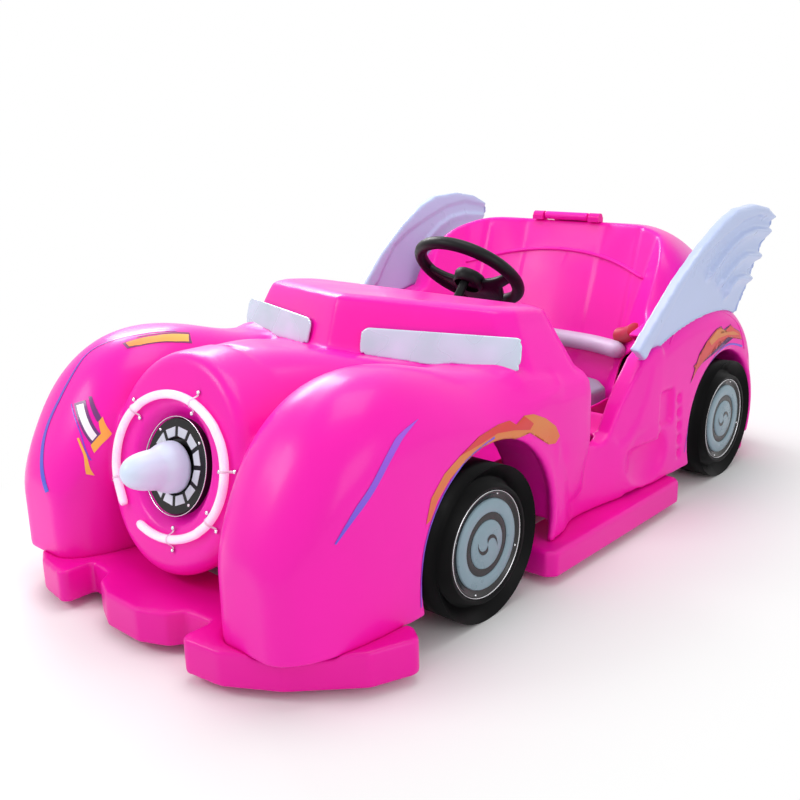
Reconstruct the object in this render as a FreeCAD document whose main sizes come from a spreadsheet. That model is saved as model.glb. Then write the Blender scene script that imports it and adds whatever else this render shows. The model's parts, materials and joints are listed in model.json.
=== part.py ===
# Kiddie electric ride-on car: moulded body on a low bumper base, turbine nose, winged rear fenders.
# Frame: millimetres, +Z up, front of the car toward -Y, car's left toward +X, ground at z = 0.
import FreeCAD, Part
import math
import os
import re
import Sketcher

os.makedirs("parts", exist_ok=True)
doc = FreeCAD.newDocument("kiddie_car")
V = FreeCAD.Vector

# ---------------------------------------------------------------- sizes, written once
SIZES = {
    # wheels and axles
    "tyre_radius": 125, "tyre_width": 80, "wheel_x": 340, "front_axle_y": -344, "rear_axle_y": 494,
    "rim_radius": 86, "spindle_radius": 10, "bore_gap": 0.6, "kingpin_x": 276, "kingpin_radius": 9,
    "steer_arm": 72,
    # body shell
    "wall": 6, "body_floor": 62, "base_bottom": 14, "base_height": 56, "fender_x": 262, "quarter_x": 268,
    "seam_y": 84, "fender_front": -728, "tail_y": 762, "front_arch": 172, "rear_arch": 152, "lip": 8,
    # nose
    "nose_y": -642, "nose_z": 252, "nose_radius": 168, "nose_face": 20, "nose_lean": 15, "turbine_radius": 75,
    "turbine_depth": 12, "neon_wide": 135, "neon_high": 109, "neon_end": 95, "neon_tube": 7, "cone_length": 98,
    "cone_radius": 41, "cone_tip": 14, "cone_lean": 8,
    # cabin top
    "cabin_low": 335, "cabin_front": -318, "cabin_corner": -206, "cabin_back": -34, "cabin_half": 352,
    "roof_front": -284, "roof_corner": -188, "roof_back": -44, "roof_half": 300, "roof_z": 440, "roof_slope": 6.5, "cabin_round": 24,
    "glass_length": 285, "glass_height": 54, "glass_thick": 4, "screen_in": 70, "screen_up": 28, "screen_gap": 0.3,
    # cockpit
    "well_half": 240, "well_front": -150, "well_floor": 92, "flare": 18, "door_low": 168,
    "seat_z": 222, "seat_front": 206, "seat_back": 345, "cushion": 48, "seat_gap": 12,
    # rear lid
    "lid_half": 170, "lid_gap": 5, "hinge_y": 455, "hinge_z": 539, "hinge_half": 85, "hinge_radius": 9,
    # base pads and boards
    "pad_front": -761, "pad_inner": 155, "pad_outer": 419, "pad_back": -548, "board_outer": 400,
    "board_front": -196, "board_back": 265, "board_inner": 300,
    # wings
    "wing_x": 374, "wing_thick": 22, "wing_lean": 6.4,
    # steering
    "column_tilt": 51, "wheel_hub_y": 97, "wheel_hub_z": 457, "grip_radius": 117, "grip_thick": 11.5,
    "shaft_radius": 9, "shaft_length": 330,
    # chassis
    "rail_x": 150, "rail_size": 30, "rail_low": 22, "bolt_radius": 5.5, "bolt_front": -160, "bolt_span": 400,
}
sheet = doc.addObject("Spreadsheet::Sheet", "Sheet")
for row, key in enumerate(SIZES):
    sheet.set("A%d" % (row + 1), key)
    sheet.set("B%d" % (row + 1), str(SIZES[key]))
    sheet.setAlias("B%d" % (row + 1), key)
doc.recompute()

TOKEN = re.compile(r"[a-z_][a-z_0-9]*|[0-9.]+|[-+*/()]")


def ex(text):
    """Expression text with every size name pointed at the sheet."""
    return re.sub(r"[a-z_][a-z_0-9]*", lambda m: "Sheet." + m.group(0), str(text))


def num(text):
    """Value of the same text, for the first guess of a sketch."""
    todo = TOKEN.findall(str(text))

    def atom():
        t = todo.pop(0)
        if t == "(":
            v = total()
            todo.pop(0)
            return v
        if t == "-":
            return -atom()
        return float(SIZES[t]) if t in SIZES else float(t)

    def product():
        v = atom()
        while todo and todo[0] in "*/":
            v = v * atom() if todo.pop(0) == "*" else v / atom()
        return v

    def total():
        v = product()
        while todo and todo[0] in "+-":
            v = v + product() if todo.pop(0) == "+" else v - product()
        return v

    return total()


# ---------------------------------------------------------------- helpers
def bind(obj, **sizes):
    for prop, text in sizes.items():
        obj.setExpression(prop, ex(text))
    return obj


def place(obj, x=0, y=0, z=0, axis=None, angle=0):
    rot = FreeCAD.Rotation(V(*axis), num(angle)) if axis else FreeCAD.Rotation()
    obj.Placement = FreeCAD.Placement(V(num(x), num(y), num(z)), rot)
    for key, text in (("x", x), ("y", y), ("z", z)):
        if not isinstance(text, (int, float)):
            obj.setExpression("Placement.Base." + key, ex(text))
    return obj


def box(name, length, width, height, x, y, z, axis=None, angle=0):
    b = doc.addObject("Part::Box", name)
    bind(b, Length=length, Width=width, Height=height)
    return place(b, x, y, z, axis, angle)


def cyl(name, radius, height, x, y, z, axis=None, angle=0):
    c = doc.addObject("Part::Cylinder", name)
    bind(c, Radius=radius, Height=height)
    return place(c, x, y, z, axis, angle)


def fuse(name, *items):
    f = doc.addObject("Part::MultiFuse", name)
    f.Shapes = list(items)
    f.Refine = True
    return f


def cut(name, base, *tools):
    c = doc.addObject("Part::Cut", name)
    c.Base = base
    c.Tool = tools[0] if len(tools) == 1 else fuse(name + "_tools", *tools)
    return c


def mirror(name, source):
    m = doc.addObject("Part::Mirroring", name)
    m.Source = source
    m.Normal = V(1, 0, 0)
    return m


PLANES = {
    "xz": FreeCAD.Rotation(V(1, 0, 0), 90),
    "yz": FreeCAD.Rotation(V(1, 1, 1), 120),
    "xy": FreeCAD.Rotation(),
}


def sketch(body, name, plane="xy", x=0, y=0, z=0):
    s = doc.addObject("Sketcher::SketchObject", name)
    body.addObject(s)
    s.Placement = FreeCAD.Placement(V(num(x), num(y), num(z)), PLANES[plane])
    for key, text in (("x", x), ("y", y), ("z", z)):
        if not isinstance(text, (int, float)):
            s.setExpression("Placement.Base." + key, ex(text))
    return s


def hold(s, kind, args, text):
    i = s.addConstraint(Sketcher.Constraint(kind, *args, num(text)))
    s.setExpression("Constraints[%d]" % i, ex(text))


def polygon(s, points):
    """Closed outline of straight lines, every corner held by two sizes."""
    n = len(points)
    for i in range(n):
        a, b = points[i], points[(i + 1) % n]
        s.addGeometry(Part.LineSegment(V(num(a[0]), num(a[1]), 0), V(num(b[0]), num(b[1]), 0)), False)
    for i in range(n):
        s.addConstraint(Sketcher.Constraint("Coincident", i, 2, (i + 1) % n, 1))
    for i, p in enumerate(points):
        for kind, text, line in (("DistanceX", p[0], -2), ("DistanceY", p[1], -1)):
            if num(text) == 0:
                s.addConstraint(Sketcher.Constraint("PointOnObject", i, 1, line))
            else:
                hold(s, kind, (-1, 1, i, 1), text)
    return s


def arch(body, name, y, xc, half, low, top, radius):
    """Cross-section: flat bottom, upright sides, two round shoulders."""
    s = sketch(body, name, "xz", 0, y, 0)
    a, b, c, d, r = (num("(%s) - (%s)" % (xc, half)), num("(%s) + (%s)" % (xc, half)), num(low), num(top),
                     num(radius))
    q = 1.5707963267948966
    s.addGeometry(Part.LineSegment(V(a, c, 0), V(b, c, 0)), False)
    s.addGeometry(Part.LineSegment(V(b, c, 0), V(b, d - r, 0)), False)
    s.addGeometry(Part.ArcOfCircle(Part.Circle(V(b - r, d - r, 0), V(0, 0, 1), r), 0, q), False)
    s.addGeometry(Part.LineSegment(V(b - r, d, 0), V(a + r, d, 0)), False)
    s.addGeometry(Part.ArcOfCircle(Part.Circle(V(a + r, d - r, 0), V(0, 0, 1), r), q, 2 * q), False)
    s.addGeometry(Part.LineSegment(V(a, d - r, 0), V(a, c, 0)), False)
    for kind, g, p, h, w in (("Coincident", 0, 2, 1, 1), ("Tangent", 1, 2, 2, 1), ("Tangent", 2, 2, 3, 1),
                             ("Tangent", 3, 2, 4, 1), ("Tangent", 4, 2, 5, 1), ("Coincident", 5, 2, 0, 1)):
        s.addConstraint(Sketcher.Constraint(kind, g, p, h, w))
    for kind, g in (("Horizontal", 0), ("Vertical", 1), ("Horizontal", 3), ("Vertical", 5)):
        s.addConstraint(Sketcher.Constraint(kind, g))
    hold(s, "Radius", (2,), radius)
    s.addConstraint(Sketcher.Constraint("Equal", 2, 4))
    hold(s, "DistanceY", (-1, 1, 0, 1), low)
    hold(s, "DistanceY", (-1, 1, 2, 2), top)
    for corner, sign in (((0, 1), "-"), ((0, 2), "+")):
        text = "(%s) %s (%s)" % (xc, sign, half)
        hold(s, "DistanceX", (-1, 1) + corner, text)
    return s


def loft_body(name, rows, inset=""):
    """Body lofted through arch sections; with an inset it is the hollow inside of the same shape."""
    body = doc.addObject("PartDesign::Body", name)
    shapes = []
    tops = [num(row[4]) for row in rows]
    peak = tops.index(max(tops))
    for i, (y, xc, half, low, top, radius) in enumerate(rows):
        if inset:
            y = "(%s) %s %s" % (y, "+" if i <= peak else "-", inset)
            half, low, top = "(%s) - %s" % (half, inset), "(%s) - 30" % low, "(%s) - %s" % (top, inset)
            radius = "(%s) - %s" % (radius, inset)
        shapes.append(arch(body, "%s_station_%d" % (name, i + 1), y, xc, half, low, top, radius))
    loft = doc.addObject("PartDesign::AdditiveLoft", name + "_loft")
    body.addObject(loft)
    loft.Profile = shapes[0]
    loft.Sections = shapes[1:]
    return body


def turned(name, profile, x=0, y=0, z=0, plane="xy", axis="V_Axis"):
    """Body of revolution: the outline is turned about one axis of its sketch."""
    body = doc.addObject("PartDesign::Body", name)
    s = polygon(sketch(body, name + "_outline", plane, 0, 0, 0), profile)
    rev = doc.addObject("PartDesign::Revolution", name + "_turned")
    body.addObject(rev)
    rev.Profile = s
    rev.ReferenceAxis = (s, [axis])
    rev.Angle = 360
    return place(body, x, y, z)


def padded(name, points, height, plane="xy", x=0, y=0, z=0, taper=0, both=False):
    """Plate: an outline padded to one height, with or without a taper."""
    body = doc.addObject("PartDesign::Body", name)
    s = polygon(sketch(body, name + "_outline", plane, x, y, z), points)
    pad = doc.addObject("PartDesign::Pad", name + "_pad")
    body.addObject(pad)
    pad.Profile = s
    bind(pad, Length=height)
    if taper:
        bind(pad, TaperAngle="-(%s)" % taper)
    pad.Midplane = both
    return body


def rounded(name, base, radius, test):
    """Fillet on the edges that the test picks."""
    doc.recompute()
    f = doc.addObject("Part::Fillet", name)
    f.Base = base
    f.Edges = [(i + 1, num(radius), num(radius)) for i, e in enumerate(base.Shape.Edges) if test(e)]
    return f


def upright(e):
    a, b = e.Vertexes[0].Point, e.Vertexes[-1].Point
    return len(e.Vertexes) == 2 and abs(a.x - b.x) < 0.01 and abs(a.y - b.y) < 0.01


NODES = {}


def node(name, obj, label):
    obj.Label = label
    NODES[name] = obj


# ---------------------------------------------------------------- moulded body, outer and inner volumes
FENDER = [
    ("fender_front", "fender_x", "40", "body_floor", "190", "36"),
    ("-712", "fender_x", "68", "body_floor", "235", "62"),
    ("-680", "fender_x", "88", "body_floor", "292", "80"),
    ("-630", "fender_x", "103", "body_floor", "358", "94"),
    ("-560", "fender_x", "111", "body_floor", "402", "101"),
    ("-470", "fender_x", "113", "body_floor", "412", "102"),
    ("-380", "fender_x", "112", "body_floor", "395", "98"),
    ("-270", "fender_x", "110", "body_floor", "369", "84"),
    ("-110", "fender_x", "104", "body_floor", "354", "56"),
    ("seam_y", "fender_x", "100", "body_floor", "346", "36"),
]
HOOD = [
    ("nose_y + 60", "0", "150", "body_floor", "414", "140"),
    ("-480", "0", "168", "body_floor", "411", "140"),
    ("-390", "0", "190", "body_floor", "395", "112"),
    ("-300", "0", "222", "body_floor", "372", "86"),
    ("-150", "0", "262", "body_floor", "360", "56"),
    ("seam_y", "0", "280", "body_floor", "350", "40"),
]
QUARTER = [
    ("seam_y", "quarter_x", "94", "body_floor", "330", "34"),
    ("180", "quarter_x", "103", "body_floor + 0.8", "332", "36"),
    ("250", "quarter_x", "106", "body_floor + 0.8", "354", "38"),
    ("340", "quarter_x", "108", "body_floor", "372", "40"),
    ("440", "quarter_x", "109", "body_floor", "378", "44"),
    ("520", "quarter_x", "109", "body_floor", "368", "50"),
    ("600", "quarter_x", "106", "body_floor", "322", "62"),
    ("660", "quarter_x", "92", "body_floor + 20", "252", "68"),
    ("708", "quarter_x", "72", "body_floor + 42", "196", "58"),
    ("738", "quarter_x", "50", "body_floor + 58", "158", "30"),
]
DECK = [
    ("286", "0", "346", "body_floor", "368", "40"),
    ("335", "0", "349", "body_floor", "446", "90"),
    ("390", "0", "347", "body_floor", "518", "140"),
    ("460", "0", "340", "body_floor", "529", "170"),
    ("545", "0", "324", "body_floor", "508", "172"),
    ("625", "0", "298", "body_floor", "436", "160"),
    ("700", "0", "262", "body_floor", "326", "138"),
    ("tail_y", "0", "214", "body_floor", "206", "96"),
]
fender_out = loft_body("fender_outside", FENDER)
fender_in = loft_body("fender_inside", FENDER, "wall")
hood_out = loft_body("hood_outside", HOOD)
hood_in = loft_body("hood_inside", HOOD, "wall")
quarter_out = loft_body("quarter_outside", QUARTER)
quarter_in = loft_body("quarter_inside", QUARTER, "wall")
deck_out = loft_body("deck_outside", DECK)
deck_in = loft_body("deck_inside", DECK, "wall")
lean = math.radians(SIZES["nose_lean"])


def nose_place(right=0.0, deep=0.0, up=0.0, angle=None, first=None):
    """Placement in the nose's leaned frame: deep runs back from its face."""
    rot = FreeCAD.Rotation(V(1, 0, 0), -(SIZES["nose_lean"] if angle is None else angle))
    middle = V(0, num("nose_y"), num("nose_z"))
    face = FreeCAD.Rotation(V(1, 0, 0), -SIZES["nose_lean"])
    return FreeCAD.Placement(middle + face.multVec(V(right, deep, up)), rot.multiply(first or FreeCAD.Rotation()))


def nose_front(name, back):
    """Space in front of the leaned nose face, or of a plane further back."""
    y = num(back)
    run = 260 * math.tan(lean)
    space = [("nose_y + %.3f" % (y - run), "nose_z - 260"), ("nose_y + %.3f" % (y + run), "nose_z + 260"),
             ("nose_y - 300", "nose_z + 260"), ("nose_y - 300", "nose_z - 260")]
    return padded(name, space, "600", "yz", -300)


FORWARD = FreeCAD.Rotation(V(1, 0, 0), 90)
barrel = cyl("nose_barrel_solid", "nose_radius", "190", 0, "nose_y + 120", "nose_z", (1, 0, 0), 90)
barrel = cut("nose_barrel", barrel, nose_front("nose_front_space", "0"))
barrel = rounded("nose_barrel_round", barrel, "22", lambda e: "Ellipse" in e.Curve.TypeId and e.Length > 900)
barrel_in = cyl("nose_barrel_inner", "nose_radius - wall", "190", 0, "nose_y + 120 + nose_face + wall", "nose_z",
                (1, 0, 0), 90)
barrel_in = cut("nose_barrel_inside", barrel_in, nose_front("nose_front_space_inner", "(nose_face + wall)*1.04"))
recess = doc.addObject("Part::Cone", "nose_recess")
bind(recess, Radius1="turbine_radius + 4", Radius2="turbine_radius + 22", Height="nose_face")
recess.Placement = nose_place(0, num("nose_face"), 0, None, FORWARD)
seam_in = box("seam_passage", "2*(fender_x + 86)", "40", "262", "-fender_x - 86", "seam_y - 20", "body_floor - 4")
front_out = fuse("front_outside", fender_out, mirror("fender_outside_right", fender_out), hood_out, barrel)
front_in = fuse("front_inside", fender_in, mirror("fender_inside_right", fender_in), hood_in, barrel_in, seam_in)
rear_out = fuse("rear_outside", quarter_out, mirror("quarter_outside_right", quarter_out), deck_out)
rear_in = fuse("rear_inside", quarter_in, mirror("quarter_inside_right", quarter_in), deck_in, seam_in)
whole_out = fuse("whole_outside", front_out, rear_out)

# doorway: one outline cut across the whole width, and the same outline one wall larger
NOTCH = [(-66, 394), (-20, 336), (20, 284), (40, 240), (56, 190), (84, 168), (112, 178), (140, 206), (162, 240),
         (186, 317), (196, 460), (-66, 460)]
notch = padded("doorway", [(str(y), str(z)) for y, z in NOTCH], "900", "yz", -450)
GROWN = [("%s %s wall" % (y, "-" if y < 84 else "+" if y > 84 else "+ 0*"), "%s - %s*wall" % (z, 1 if y == 84 else 0.6))
         for y, z in NOTCH]
grown = padded("doorway_grown", GROWN, "900", "yz", -450)
ledge_ring = doc.addObject("Part::MultiCommon", "ledge_ring")
ledge_ring.Shapes = [whole_out, cut("doorway_skin", grown, notch)]

# seat well: flared upwards and back from the seat
WELL = [("-well_half", "104"), ("well_half", "104"), ("well_half", "262"), ("190", "318"), ("90", "seat_back"),
        ("-90", "seat_back"), ("-190", "318"), ("-well_half", "262")]
WELL_IN = [("wall - well_half", "60"), ("well_half - wall", "60"), ("well_half - wall", "260"),
           ("187", "318 - wall"), ("89", "seat_back - wall"), ("-89", "seat_back - wall"), ("-187", "318 - wall"),
           ("wall - well_half", "260")]


def flared(name, points, low):
    """Pad whose sides lean outwards on the way up."""
    body = padded(name, points, "400", "xy", 0, 0, low)
    pad = body.Group[-1]
    bind(pad, TaperAngle="flare")
    return body


well = flared("seat_well", WELL, "seat_z - cushion")
well_in = flared("seat_well_inside", WELL_IN, "seat_z - cushion")

arch_front = cyl("arch_front", "front_arch", "200", 235, "front_axle_y + 22", "tyre_radius - 13", (0, 1, 0), 90)
arch_rear = cyl("arch_rear", "rear_arch", "200", 285, "rear_axle_y - 12", "tyre_radius", (0, 1, 0), 90)


def arch_lip(name, radius, x, y, z):
    """Rolled edge round a wheel arch, down to the body's floor."""
    ring = doc.addObject("Part::Torus", name + "_ring")
    bind(ring, Radius1=radius + " + 0.6*lip", Radius2="lip")
    place(ring, x, y, z, (0, 1, 0), 90)
    above = box(name + "_above", "100", "800", "500", x + " - 50", y + " - 400", "body_floor")
    lip = doc.addObject("Part::MultiCommon", name)
    lip.Shapes = [ring, above]
    return lip


lip_front = arch_lip("lip_front", "front_arch", "fender_x + 104", "front_axle_y + 22", "tyre_radius - 13")
lip_rear = arch_lip("lip_rear", "rear_arch", "quarter_x + 101", "rear_axle_y - 12", "tyre_radius")


def dent(name, grow=""):
    """Oval dish, vent and gill slots pressed into the side behind the doorway."""
    dish = doc.addObject("Part::Ellipsoid", name + "_dish")
    bind(dish, Radius1="60" + grow, Radius2="27" + grow, Radius3="78" + grow)
    dish.Angle1 = -90
    place(dish, "quarter_x + 110", "166", "126")
    vent = box(name + "_vent", "60", "54" + 2 * grow, "68" + 2 * grow, "quarter_x + 96" + grow.replace("+", "-"),
               "207" + grow.replace("+", "-"), "174" + grow.replace("+", "-"))
    gills = [box("%s_gill_%d" % (name, i), "60", "15" + 2 * grow, "21" + 2 * grow,
                 "quarter_x + 99" + grow.replace("+", "-"), str(277 + 3 * i) + grow.replace("+", "-"),
                 str(206 - 29 * i) + grow.replace("+", "-")) for i in range(5)]
    return fuse(name, dish, vent, *gills)


dents = dent("side_dent")
dents_back = dent("side_dent_back", " + wall")
rear_in = cut("rear_hollow", rear_in, dents_back, mirror("side_dent_back_right", dents_back))
body_front = cut("front_shell", front_out, front_in, recess, arch_front, mirror("arch_front_right", arch_front), grown)
body_front = fuse("body_front", body_front, lip_front, mirror("lip_front_right", lip_front))
node("body_front", body_front, "Front body with pontoon fenders and turbine nose")
lid_cut = box("lid_opening", "2*(lid_half + lid_gap)", "400", "400", "-lid_half - lid_gap", "hinge_y + 19", "190")
lid_notch = box("lid_notch", "108", "40", "40", "-54", "hinge_y - 14", "hinge_z - 11")
passage = box("well_passage", "2*well_half", "236", "seat_z - cushion - body_floor + 10", "-well_half", "seam_y - 8",
              "body_floor - 10")
body_rear = cut("rear_shell", rear_out, rear_in, arch_rear, mirror("arch_rear_right", arch_rear), grown, well, lid_cut,
                lid_notch, passage, dents, mirror("side_dent_right", dents))
body_rear = fuse("body_rear", body_rear, lip_rear, mirror("lip_rear_right", lip_rear))
node("body_rear", body_rear, "Rear body with quarter fenders and seat surround")
liner = doc.addObject("Part::MultiCommon", "liner_common")
liner.Shapes = [cut("liner_ring", well, well_in), rear_out]
liner = cut("cockpit_liner", liner, grown, lid_notch)
node("cockpit_liner", liner, "Cockpit liner with the seat back")


def part_of(name, source, *where):
    c = doc.addObject("Part::MultiCommon", name)
    c.Shapes = [source, box(name + "_space", *where)]
    return c


ledge = part_of("door_ledge_left", cut("ledge_clear", ledge_ring, well), "200", "400", "400", "well_half", "-90",
                "100")
node("door_ledge_left", ledge, "Left door ledge")
node("door_ledge_right", mirror("door_ledge_right", ledge), "Right door ledge")
tilt = FreeCAD.Rotation(V(1, 0, 0), SIZES["column_tilt"] - 90)
dash_hole = cyl("dash_hole", "shaft_radius + 6.3", "400", 0, "wheel_hub_y", "wheel_hub_z", (1, 0, 0),
                SIZES["column_tilt"] + 90)
dash = part_of("dash_plate", ledge_ring, "2*well_half - 0.6", "200", "130", "0.3 - well_half", "-100", "262")
node("dash_panel", cut("dash_panel", dash, dash_hole), "Dash panel")

# ---------------------------------------------------------------- cabin top with the split windscreen


def cabin_plan(front, corner, back, half, inset, y_off):
    """Outline of the cabin at one height: a blunt arrow with eased corners."""
    side = "%s - %s" % (half, inset)
    side = [(side + " - 24", "(%s)*0.93 + (%s)*0.07 + %s - %s" % (corner, front, inset, y_off)),
            (side, "%s + 24 + %s - %s" % (corner, inset, y_off)), (side, "%s - 32 - %s - %s" % (back, inset, y_off)),
            (side + " - 9", "%s - 9 - %s - %s" % (back, inset, y_off)),
            (side + " - 32", "%s - %s - %s" % (back, inset, y_off))]
    nose = [("0", "%s + %s - %s" % (front, inset, y_off))]
    return nose + side + [("0 - (%s)" % x, y) for x, y in reversed(side)]


def cabin_shape(name, inset):
    body = doc.addObject("PartDesign::Body", name)
    low = polygon(sketch(body, name + "_low", "xy", 0, 0, "cabin_low"),
                  cabin_plan("cabin_front", "cabin_corner", "cabin_back", "cabin_half", inset, "0"))
    rings = []
    for step, drop, narrow in (("shoulder", "cabin_round", "0"), ("crest", "cabin_round/4", "cabin_round*0.3"),
                               ("roof", "0", "cabin_round")):
        ring = polygon(sketch(body, name + "_" + step, "xy", 0, "roof_back", "roof_z - %s - %s" % (inset, drop)),
                       cabin_plan("(roof_front)", "(roof_corner)", "(roof_back)", "(roof_half)",
                                  "(%s + %s)" % (inset, narrow), "(roof_back)"))
        ring.Placement = FreeCAD.Placement(ring.Placement.Base,
                                           FreeCAD.Rotation(V(1, 0, 0), -SIZES["roof_slope"]))
        rings.append(ring)
    loft = doc.addObject("PartDesign::AdditiveLoft", name + "_loft")
    body.addObject(loft)
    loft.Profile = low
    loft.Sections = rings
    loft.Ruled = True
    return body


cabin = cut("cabin_top", cabin_shape("cabin_outside", "0*wall"), cabin_shape("cabin_inside", "wall"), front_out)
node("cabin_top", cabin, "Cabin top with split windscreen")
slope = math.radians(SIZES["roof_slope"])
turn = math.atan2(num("cabin_corner - cabin_front"), num("cabin_half"))
rise = num("roof_z - cabin_low") + num("roof_back - roof_front") * math.sin(slope)
lean = math.atan2((num("roof_back - cabin_front") - num("roof_back - roof_front") * math.cos(slope)) * math.cos(turn),
                  rise)
screen_turn = FreeCAD.Rotation(V(0, 0, 1), math.degrees(turn)).multiply(
    FreeCAD.Rotation(V(1, 0, 0), -math.degrees(lean)))
screen_foot = V(0, num("cabin_front"), num("cabin_low"))
screen_off = screen_turn.multVec(V(num("screen_in"), -num("glass_thick + screen_gap"), num("screen_up")))
glass = box("screen_plate", "glass_length", "glass_thick", "glass_height", 0, 0, 0)
glass.Placement = FreeCAD.Placement(screen_foot + screen_off, screen_turn)
glass = cut("windscreen_left", glass, front_out)
node("windscreen_left", glass, "Left windscreen panel")
node("windscreen_right", mirror("windscreen_right", glass), "Right windscreen panel")

# ---------------------------------------------------------------- rear lid and its hinge
lid_common = part_of("rear_lid_skin", cut("deck_skin", deck_out, deck_in), "2*lid_half", "400", "400", "-lid_half",
                     "hinge_y + 19 + lid_gap", "190 + lid_gap")
lid_barrel = cyl("lid_barrel", "hinge_radius", "2*hinge_half - 60", "30 - hinge_half", "hinge_y", "hinge_z",
                 (0, 1, 0), 90)
lid_bridge = box("lid_bridge", "100", "40", "6", "-50", "hinge_y", "hinge_z - 5")
lid_foot = box("lid_foot", "100", "14", "20", "-50", "hinge_y + 26", "hinge_z - 19")
lid_bore = cyl("lid_bore", "3.05", "2*hinge_half", "-hinge_half", "hinge_y", "hinge_z", (0, 1, 0), 90)
rear_lid = cut("rear_lid", fuse("lid_solid", lid_common, lid_barrel, lid_bridge, lid_foot), lid_bore)
node("rear_lid", rear_lid, "Rear lid over the battery space")
hinge_ends = [cyl("hinge_knuckle_%d" % i, "hinge_radius", "26", x, "hinge_y", "hinge_z", (0, 1, 0), 90)
              for i, x in enumerate(("-hinge_half", "hinge_half - 26"))]
hinge_pads = [box("hinge_pad_%d" % i, "26", "22", "hinge_radius + 8", x, "hinge_y - 11", "hinge_z - 17")
              for i, x in enumerate(("-hinge_half", "hinge_half - 26"))]
hinge_pin = cyl("hinge_pin", "3", "2*hinge_half - 4", "2 - hinge_half", "hinge_y", "hinge_z", (0, 1, 0), 90)
node("lid_hinge", cut("lid_hinge", fuse("lid_hinge_solid", *(hinge_ends + hinge_pads + [hinge_pin])), rear_out),
     "Lid hinge block")

# ---------------------------------------------------------------- inner tub and seat
tub = cut("tub_shell",
          box("tub_out", "2*well_half", "seat_front - well_front", "seat_z - cushion - well_floor + wall",
              "-well_half", "well_front", "well_floor - wall"),
          box("tub_in", "2*well_half - 2*wall", "seat_front - well_front", "300", "wall - well_half",
              "well_front + wall", "well_floor"))
seat_box = cut("seat_box",
               box("seat_box_out", "2*well_half", "seat_back - seat_front + 30", "seat_z - cushion - well_floor + wall",
                   "-well_half", "seat_front", "well_floor - wall"),
               box("seat_box_in", "2*well_half - 2*wall", "seat_back - seat_front + 30 - 2*wall",
                   "seat_z - cushion - well_floor", "wall - well_half", "seat_front + wall", "well_floor - wall"))
node("floor_tub", cut("floor_tub", fuse("tub_solid", tub, seat_box), grown), "Floor tub and seat base")
CUSHION = [("-well_half + seat_gap", "seat_front"), ("well_half - seat_gap", "seat_front"),
           ("well_half - seat_gap", "258"), ("184", "318 - seat_gap"), ("86", "seat_back - seat_gap"),
           ("-86", "seat_back - seat_gap"), ("-184", "318 - seat_gap"), ("-well_half + seat_gap", "258")]
node("seat_cushion", padded("seat_cushion", CUSHION, "cushion", "xy", 0, 0, "seat_z - cushion"), "Seat cushion")
belt = box("belt_strap", "300", "38", "2.4", "-150", "seat_front + 60", "seat_z + 0.2")
node("seat_belt", belt, "Seat belt webbing")
node("belt_buckle", box("belt_buckle", "56", "44", "14", "-28", "seat_front + 57", "seat_z + 2.9"), "Belt buckle")

# ---------------------------------------------------------------- base: pads, boards, rear bumper
PAD = [("pad_inner", "pad_front"), ("230", "-751"), ("308", "-706"), ("390", "-624"), ("pad_outer", "pad_back - 3"),
       ("pad_outer - 30", "pad_back + 18"), ("300", "pad_back + 18"), ("pad_inner", "-600")]
pad = rounded("bumper_pad_round", padded("bumper_pad", PAD, "base_height", "xy", 0, 0, "base_bottom"), "14", upright)
LOBE = [("-104", "-708"), ("-86", "-733"), ("-40", "-753"), ("40", "-753"), ("86", "-733"), ("104", "-708"),
        ("156", "-703"), ("190", "-600"), ("-190", "-600"), ("-156", "-703")]
lobe = padded("bumper_lobe", LOBE, "base_height", "xy", 0, 0, "base_bottom")
base_front = fuse("front_bumper_solid", pad, mirror("bumper_pad_right", pad), lobe)
node("front_bumper", cut("front_bumper", base_front, front_out), "Front bumper base")
board = padded("running_board", [("board_inner", "board_front"), ("board_outer - 14", "board_front"),
                                 ("board_outer", "board_front + 14"), ("board_outer", "board_back - 14"),
                                 ("board_outer - 14", "board_back"), ("board_inner", "board_back")],
               "body_floor - base_bottom", "xy", 0, 0, "base_bottom")
board = rounded("running_board_round", board, "5", lambda e: e.BoundBox.ZMin > num("body_floor") - 0.1)
node("running_board_left", board, "Left running board")
node("running_board_right", mirror("running_board_right", board), "Right running board")
TAILPAD = [("-350", "616"), ("350", "616"), ("362", "640"), ("334", "700"), ("284", "748"), ("205", "tail_y + 12"),
           ("-205", "tail_y + 12"), ("-284", "748"), ("-334", "700"), ("-362", "640")]
base_rear = padded("rear_bumper_solid", TAILPAD, "base_height", "xy", 0, 0, "base_bottom")
base_rear = rounded("rear_bumper_round", base_rear, "12", upright)
node("rear_bumper", cut("rear_bumper", base_rear, rear_out), "Rear bumper base")

# ---------------------------------------------------------------- wings
WING = [("114", "340"), ("238", "454"), ("320", "511"), ("394", "551"), ("453", "571"), ("539", "574"),
        ("604", "563"), ("654", "541"), ("652", "520"), ("637", "492"), ("616", "484"), ("618", "452"), ("600", "446"),
        ("591", "417"), ("548", "346"), ("480", "330"), ("340", "320"), ("190", "290")]
wing_plate = padded("wing_plate", WING, "wing_thick", "yz")
wing_plate.Placement = FreeCAD.Placement(V(num("wing_x"), 0, 340), FreeCAD.Rotation(V(0, 1, 0), SIZES["wing_lean"])
                                         ).multiply(FreeCAD.Placement(V(-num("wing_thick"), 0, -340),
                                                                      FreeCAD.Rotation()))
wing = cut("wing_left", wing_plate, rear_out)
node("wing_left", wing, "Left wing")
node("wing_right", mirror("wing_right", wing), "Right wing")

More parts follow.
